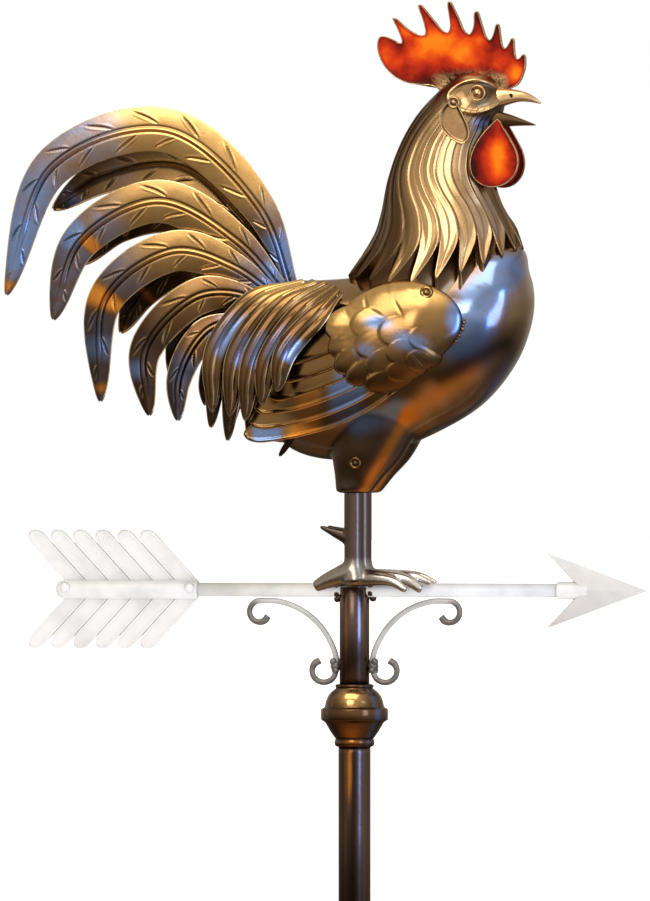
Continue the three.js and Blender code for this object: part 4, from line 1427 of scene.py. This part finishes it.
# %% [markdown]
# ## Beak and eye
# The beak is two horns, the upper one hooked, each a flat-sided skin between an upper and a lower rail.
# The eye is one turned profile, a ball inside a ring. It is set where a ray from the side meets the head, so
# that it sits on the metal and not in front of it. The nostril is a small boss painted dark all over, for the
# shade inside a nostril.

# %% Beak, eye and nostril
HORN_END = 0.97


def horn(upper, lower, note, splay):
    tops, lows = side_rail(upper), side_rail(lower)

    def place(u, v):
        share = min(1, v / HORN_END)
        angle = u * math.tau
        spot = between(tops, lows, share, angle, 1 if v < HORN_END else 0)
        flat = max(abs(math.sin(angle)), 0.01) ** -0.6
        spot.y *= (1 - splay * math.cos(angle)) * flat
        return spot, note(share), NO_BLADE

    return skin(28, 36, place)


def seat(x, z, tree):
    """Where the metal's near side is, seen from the near flank."""
    return tree.ray_cast(Vector((x, -300, z)), Vector((0, 1, 0)))[0].y


def stud(x, z, tree, profile, groove, sink):
    """A turned boss on the metal, with painted shade in the groove round its middle."""

    def note(at):
        return (0.75, 0, 0, 0.1 + 0.75 * bell(math.hypot(at.x - x, at.z - z) - groove, 0.8))

    return turned(profile, 36, "Y", (x, seat(x, z, tree) + sink, z), note)


UPPER_TOP = [
    (136, 842, 14), (150, 842.5, 12.5), (163, 840.8, 9.5), (175, 838, 6.8), (184, 833, 4),
    (190.6, 827.3, 0.6),
]
UPPER_LOW = [(136, 819), (147, 822.5), (157, 826), (168, 828.6), (179, 828.2), (190, 826.2)]
LOWER_TOP = [(136, 821, 15), (150, 818.5, 11.5), (160, 815.5, 8.5), (173, 810.5, 5), (185.5, 805.6, 0.5)]
LOWER_LOW = [(136, 800), (150, 803), (158, 804), (170, 804.6), (185, 804.8)]
# Painted gold highlight over the upper beak, darker at its tip, and painted shade over the lower beak.
upper_beak = horn(UPPER_TOP, UPPER_LOW, lambda share: (1.0, 0, 0, 0.3 * ease(share, 0.9, 1.0)), splay=0.16)
lower_beak = horn(LOWER_TOP, LOWER_LOW, lambda share: (0.12, 0, 0, 0.25), splay=-0.1)
EYE_RING = [
    (0, 4.2), (1.4, 4.0), (2.8, 3.5), (4.0, 2.4), (4.8, 1.0), (5.2, -0.4), (5.9, -0.4), (6.3, 1.2),
    (7.0, 2.1), (7.7, 2.1), (8.3, 1.3), (8.6, 0.0), (8.7, -4.0), (0, -4.0),
]
eye = stud(*EYE, head_tree, EYE_RING, 5.6, -0.8)
far_eye = mirrored(eye)
beak_tree = BVHTree.FromBMesh(upper_beak)
NOSTRIL = [(0, 0.3), (1.5, 0.25), (2.3, 0.0), (2.4, -2), (0, -2)]
NOSTRIL_X, NOSTRIL_Z = 161, 834.5
nostril_spot = (NOSTRIL_X, seat(NOSTRIL_X, NOSTRIL_Z, beak_tree), NOSTRIL_Z)
# Painted dark all over, for the shade inside the nostril.
nostril = turned(NOSTRIL, 24, "Y", nostril_spot, lambda at: (0, 0, 0, 0.95))
cockerel_head = join([hackle, upper_beak, lower_beak, eye, far_eye, mirrored(nostril), nostril])
piece("head_and_hackle", cockerel_head, hackle_metal, "aged_brass")
print("head done")

# %% [markdown]
# ## Enamelled comb and wattles
# Comb and wattles are cut plates with a raised metal rim, filled with red enamel that pools darker at the
# rim. Each is a skin over an outline: front, edge and back in one. The distance of every corner from the
# outline is measured once and shapes both the rim and the colour.

# %% Medallions


def distances(outline, count=900):
    tree = KDTree(count)
    for i in range(count):
        tree.insert(outline.at(i / count), i)
    tree.balance()
    return lambda spot: tree.find(spot)[2]


FACE_SHARE = 0.46
EDGE_SHARE = 0.03


def medallion(outline, middle, note, plane, around, rings, thickness, rim, dish, fall=1.6, crowd=1.6):
    """A plate inside an outline drawn in side view: rim raised, face dished, both sides alike."""
    away = distances(outline)

    def place(u, v):
        front = 1 if v < 0.5 else -1
        turn = min(v, 1 - v)
        ring = 1 - (1 - min(1.0, turn / FACE_SHARE)) ** crowd
        flat = middle(u).lerp(outline.at(u), ring)
        gap = away(flat) if ring < 1 else 0.0
        wall = thickness / 2 * min(1, (0.5 - turn) / EDGE_SHARE)
        height = wall - dish * ease(gap, rim, rim + fall)
        spot = flat + Vector((0, plane(flat.x, flat.z) - front * height, 0))
        return spot, note(flat, gap), NO_BLADE

    return skin(around, rings, place)


# %% Comb
COMB_EDGE = [
    (90, 838), (80, 845), (66, 846), (52, 848.5), (40, 855), (30, 866), (24.5, 879), (24, 888),
    (26.5, 894), (31, 894.5), (40, 891), (47.5, 887.5), (48.8, 889), (45, 900), (39.5, 912.5),
    (41.5, 912.8), (56, 901), (68, 895.4), (72.5, 896.5), (71, 908), (65.5, 925.5), (67.5, 926),
    (80, 912), (91, 899.5), (96, 898.5), (98, 904), (95.5, 928), (97.5, 929), (106, 914), (113, 899),
    (118, 896.5), (121.5, 903), (123, 918.5), (125.5, 919), (131, 904), (135, 893), (138.5, 890.5),
    (141.5, 895), (145, 906), (147.2, 906), (149.5, 894), (151.5, 884), (154, 882), (157, 885.5),
    (160.5, 892), (162.5, 891.5), (163.5, 880), (165.3, 872.2), (168, 871.6), (172, 876), (174, 875),
    (174.8, 866), (172.5, 856), (167, 846), (158, 841),
]
COMB_FOOT = [(94, 838), (106, 846), (120, 849), (136, 847), (152, 840)]
COMB_GLOW = [
    (78, 889, 21, 0.92), (110, 879, 19, 0.95), (164, 856, 10, 1.0), (55, 900, 11, 0.75),
    (36, 868, 13, 0.55), (92, 886, 18, 0.85), (150, 868, 9, 0.45), (128, 888, 10, 0.6),
    (100, 905, 9, 0.5),
]


def comb_note(flat, gap):
    """Fired glowing orange in a few places, dark at the points and the foot, with solder along the foot."""
    glow = max(
        strength * bell(math.hypot(flat.x - x, flat.z - z), width) for x, z, width, strength in COMB_GLOW
    )
    glow = 0.33 + 0.72 * glow - 0.32 * ease(flat.z, 892, 916) * ease(flat.x, 60, 100)
    glow = glow * (0.55 + 0.45 * ease(gap, 0.8, 4.0))
    rise = flat.z - (850 - 0.002 * (flat.x - 120) ** 2)
    solder = ease(11 - rise, 0, 8) * hump(flat.x, 78, 92, 150, 160)
    return (gap / 10, glow - 0.2 * ease(16 - rise, 0, 14), solder, 0)


comb_edge, comb_foot = side_rail(COMB_EDGE), side_rail(COMB_FOOT)
comb = medallion(
    comb_edge, lambda u: comb_foot.at(ease(u, -0.15, 1.1)), comb_note, lambda x, z: 0.0,
    around=400, rings=32, thickness=6.0, rim=0.9, dish=0.7, fall=1.1, crowd=1.5,
)
piece("comb", comb, red_enamel, "red_enamel")

# %% Wattles
WATTLE_EDGE = [
    (150, 811), (143, 805), (134, 794), (127, 781), (124, 767), (127, 754), (135, 746), (146, 743),
    (158, 746), (167, 755), (170.5, 767), (168.5, 779), (162.5, 791), (156, 802),
]
WATTLE_MIDDLE = Vector((148, 0, 768))


def wattle_note(flat, gap):
    glow = 0.26 + 0.85 * bell(flat.x - 151, 10) * bell(flat.z - 773, 21) * ease(gap, 0.6, 6)
    glow = glow - 0.25 * ease(140 - flat.x, 0, 12)
    return (gap / 10, glow, 0, 0)


def wattle_plane(x, z):
    return -26 + (z - 745) * 0.12 + (x - 147) * 0.3


wattle_edge = Rail([(x, 0, z) for x, z in WATTLE_EDGE], closed=True)
wattle = medallion(
    wattle_edge, lambda u: WATTLE_MIDDLE, wattle_note, wattle_plane,
    around=120, rings=44, thickness=5.0, rim=1.2, dish=1.7,
)
both_flanks("wattle", wattle, red_enamel, "red_enamel")

# %% Ear lobes
LOBE_EDGE = [
    (106, 829), (99, 824), (94.5, 815), (95, 805), (100, 796.5), (108, 790), (117, 786.5), (122.5, 790),
    (124.5, 798), (121.5, 808), (116.5, 818), (112, 826),
]
LOBE_MIDDLE = Vector((109, 0, 806))
LOBE_LOW, LOBE_TOP = 795, 822
depth_low, depth_top = seat(116, LOBE_LOW, head_tree), seat(104, LOBE_TOP, head_tree)


def lobe_note(flat, gap):
    # Painted shade in a ring inside the rim and over the upper part, and a painted highlight on the rim.
    shade = 0.7 * hump(gap, 0.9, 1.6, 2.0, 3.4) + 0.3 * ease(flat.z, 810, 824)
    return (0.5 + 0.5 * bell(gap, 1.0), 0, 0, shade)


def lobe_plane(x, z):
    return lerp(depth_low, depth_top, (z - LOBE_LOW) / (LOBE_TOP - LOBE_LOW)) - 3.5


lobe_edge = Rail([(x, 0, z) for x, z in LOBE_EDGE], closed=True)
lobe = medallion(
    lobe_edge, lambda u: LOBE_MIDDLE, lobe_note, lobe_plane,
    around=96, rings=30, thickness=5.0, rim=1.1, dish=1.3,
)
EAR_STUD = [
    (0, 3.2), (1.6, 3.0), (2.6, 2.0), (3.0, 0.9), (3.6, 0.8), (4.6, 2.2), (5.6, 2.2), (6.4, 1.0),
    (6.6, -6), (0, -6),
]
ear_stud = stud(108.5, 827.5, head_tree, EAR_STUD, 3.2, -6.0)
both_flanks("ear_lobe", join([lobe, ear_stud]), hackle_metal, "aged_brass")
print("head pieces:", TALLY[-7:])

# %% [markdown]
# ## Legs
# Shank, spur and toes were cast in one, so their rough shapes overlap and are fused like the body.

# %% Legs
LIMB_END = 0.06
LEG_TOP = 443


def limb(points, start, end, sides=16):
    path = Rail(points)
    up = Vector((0, 0, 1))

    def place(u, v):
        share = min(1, max(0, (v - LIMB_END) / (1 - 2 * LIMB_END)))
        way = path.along(share)
        side = (up.cross(way) if abs(way.z) < 0.95 else Vector((0, 1, 0))).normalized()
        over = way.cross(side)
        size = lerp(start, end, share) * min(1, v / LIMB_END, (1 - v) / LIMB_END)
        angle = u * math.tau
        spot = path.at(share) + over * size * math.cos(angle) + side * size * math.sin(angle)
        return spot, BARE, NO_BLADE

    return skin(sides, 24, place)


def leg():
    x, y = 3.5, -18
    parts = [
        limb([(x, y, 345), (x, y, 380), (x, y, 410), (x, y, 447)], 10.2, 10.2, 24),
        limb([(x, y, 376), (x, y, 365), (x + 1, y, 357), (x + 2, y, 350)], 9.5, 15, 20),
        limb([(x, y, 353), (22, y - 1, 354.5), (40, y - 2, 354), (58, y - 3, 351), (73, y - 3, 341)], 9, 4.2),
        limb([(x, y, 351), (28, y - 8, 352), (46, y - 13, 349.5), (60, y - 16, 341)], 8, 3.4),
        limb([(x, y, 353), (38, y + 4, 355.5), (64, y + 5, 354.5), (81, y + 5, 348)], 8, 3),
        limb([(x, y, 360), (-11, y, 355), (-25, y, 350), (-37, y, 344)], 13, 5.5),
        limb([(x, y, 391), (-9, y, 396), (-20, y, 400), (-31.5, y, 404.4)], 9, 1.6),
    ]
    shape = fused(join(parts), voxel=1.35, rounds=5)
    everything = shape.verts[:] + shape.edges[:] + shape.faces[:]
    bmesh.ops.bisect_plane(
        shape, geom=everything, plane_co=(0, 0, LEG_TOP), plane_no=(0, 0, 1), clear_outer=True
    )

    def place(co):
        # Painted light: a blue gleam on the shank, a gold and orange highlight on the foot, and a little
        # painted shade on the shank; paler towards the toes.
        pale = ease(co.x, 18, 52)
        turn = math.atan2(co.x - x, -(co.y - y))
        gleam = bell(turn - 0.5, 0.3) * ease(co.z, 358, 372)
        foot = ease(376 - co.z, 0, 14)
        gold = 0.04 + 0.40 * foot + 0.65 * pale
        return co.copy(), (gold, 0.25 * gleam, 0.15 * foot, 0.12 * (1 - pale)), NO_BLADE

    return mould(shape, place)


both_flanks("leg", leg(), leg_metal, "dark_bronze")
print("legs:", TALLY[-2:])

# %% [markdown]
# ## Rivets
# Round-headed rivets hold wings and thighs. A turned head with a groove round a small centre reads as one.

# %% Rivets
RIVET_HEAD = [
    (0, 2.8), (1.4, 2.6), (2.3, 1.7), (2.7, 0.8), (3.3, 0.9), (4.1, 2.0), (5.2, 2.2), (6.2, 1.5),
    (6.7, 0.3), (6.8, -4), (0, -4),
]


def rivet_head(x, z, carrier, gold, painted_shade):
    # The given gold is a painted highlight and the given shade is painted shade, with more painted shade in the
    # groove.
    def note(at):
        groove = bell(math.hypot(at.x - x, at.z - z) - 2.5, 0.6)
        return (gold, 0, 0, painted_shade + 0.5 * groove)

    return turned(RIVET_HEAD, 32, "Y", (x, seat(x, z, carrier) - 1.0, z), note)


both_flanks("wing_rivet", rivet_head(88, 638, shoulder_tree, 0.6, 0.1), sheet_metal, "aged_brass")
both_flanks("thigh_rivet", rivet_head(10, 468, body_tree, 0.12, 0.4), sheet_metal, "aged_brass")
print("rivets:", TALLY[-4:])

# %% [markdown]
# ## Floor and light
# A plain pale floor and soft studio light. Metal shows what it reflects, so the room's light changes with
# height: warm below, dark under eye level, pale from eye level up. It is stronger in front and cooler on the
# right, and the camera alone sees plain white. Two warm lamps, high in front and overhead, gild the upper
# sides, and a cool one on the right gives the blue gleams.

# %% Floor and light


def make_floor():
    shape = bmesh.new()
    bmesh.ops.create_grid(shape, x_segments=1, y_segments=1, size=40)
    mesh = bpy.data.meshes.new("floor")
    shape.to_mesh(mesh)
    shape.free()
    floor = bpy.data.objects.new("floor", mesh)
    finish = Finish("pale_floor", Roughness=0.9, Emission_Strength=1.05)
    pale = finish.blend((0.93, 0.93, 0.93, 1), (0.90, 0.90, 0.90, 1), finish.noise(3.0))
    finish.set(Base_Color=pale, Emission_Color=pale)
    mesh.materials.append(finish.material)
    bpy.context.collection.objects.link(floor)
    floor.visible_glossy = False


def make_lamp(name, place, aim, size, power, colour):
    lamp = bpy.data.lights.new(name, "AREA")
    lamp.shape = "RECTANGLE"
    lamp.size, lamp.size_y = size
    lamp.energy = power
    lamp.color = colour
    holder = bpy.data.objects.new(name, lamp)
    holder.location = place
    holder.rotation_euler = (Vector(place) - Vector(aim)).to_track_quat("Z", "Y").to_euler()
    holder.visible_camera = False
    bpy.context.collection.objects.link(holder)


SKY = [
    (0.0, (0.45, 0.26, 0.11)), (0.10, (0.36, 0.21, 0.10)), (0.21, (0.075, 0.052, 0.038)),
    (0.33, (0.15, 0.12, 0.09)), (0.42, (0.30, 0.26, 0.21)), (0.48, (0.44, 0.39, 0.325)),
    (0.53, (0.56, 0.50, 0.42)), (0.62, (0.64, 0.56, 0.45)), (0.74, (0.46, 0.40, 0.32)),
    (0.85, (0.68, 0.61, 0.49)), (1.0, (0.90, 0.81, 0.67)),
]
COOL = (0.34, 0.37, 0.44, 1)


def make_room():
    """Light by height and by bearing. The camera itself sees plain white."""
    world = bpy.data.worlds.new("room")
    bpy.context.scene.world = world
    world.use_nodes = True
    room = Nodes(world.node_tree)
    room.tree.nodes.clear()
    way = room.node("ShaderNodeTexCoord", {}, {})["Generated"]
    parts = room.node("ShaderNodeSeparateXYZ", {}, {"Vector": way})
    x, y, z = (parts[axis] for axis in "XYZ")
    stops = [(place, (*colour, 1)) for place, colour in SKY]
    sky = room.node("ShaderNodeValToRGB", {"stops": stops}, {"Fac": z * 0.5 + 0.5})["Color"]
    colour = room.blend(sky, COOL, (x - 0.15).clip() * 0.5)
    strength = 0.9 + (x * 0.45 - y * 0.8).clip() * 0.85
    light = room.node("ShaderNodeBackground", {}, {"Color": colour, "Strength": strength})["Background"]
    white = room.node("ShaderNodeBackground", {}, {"Color": (1, 1, 1, 1)})["Background"]
    seen = room.node("ShaderNodeLightPath", {}, {})["Is Camera Ray"]
    mixed = room.node("ShaderNodeMixShader", {}, {0: seen, 1: light, 2: white})["Shader"]
    room.node("ShaderNodeOutputWorld", {}, {"Surface": mixed})


make_floor()
make_room()
make_lamp("warm_key", (-0.3, -2.6, 1.75), (0, 0, 0.65), (1.2, 0.8), 14, (1.0, 0.91, 0.78))
make_lamp("warm_top", (-0.15, -1.1, 2.3), (0, 0, 0.65), (1.8, 1.2), 18, (1.0, 0.90, 0.74))
make_lamp("cool_side", (1.6, -1.35, 0.75), (0, 0, 0.6), (0.6, 1.4), 12, (0.46, 0.64, 1.0))
bpy.context.scene.view_settings.view_transform = "Standard"

# %% [markdown]
# ## Piece count
# The number of finished pieces is printed.

# %% Piece count
print("pieces:", len(TALLY))
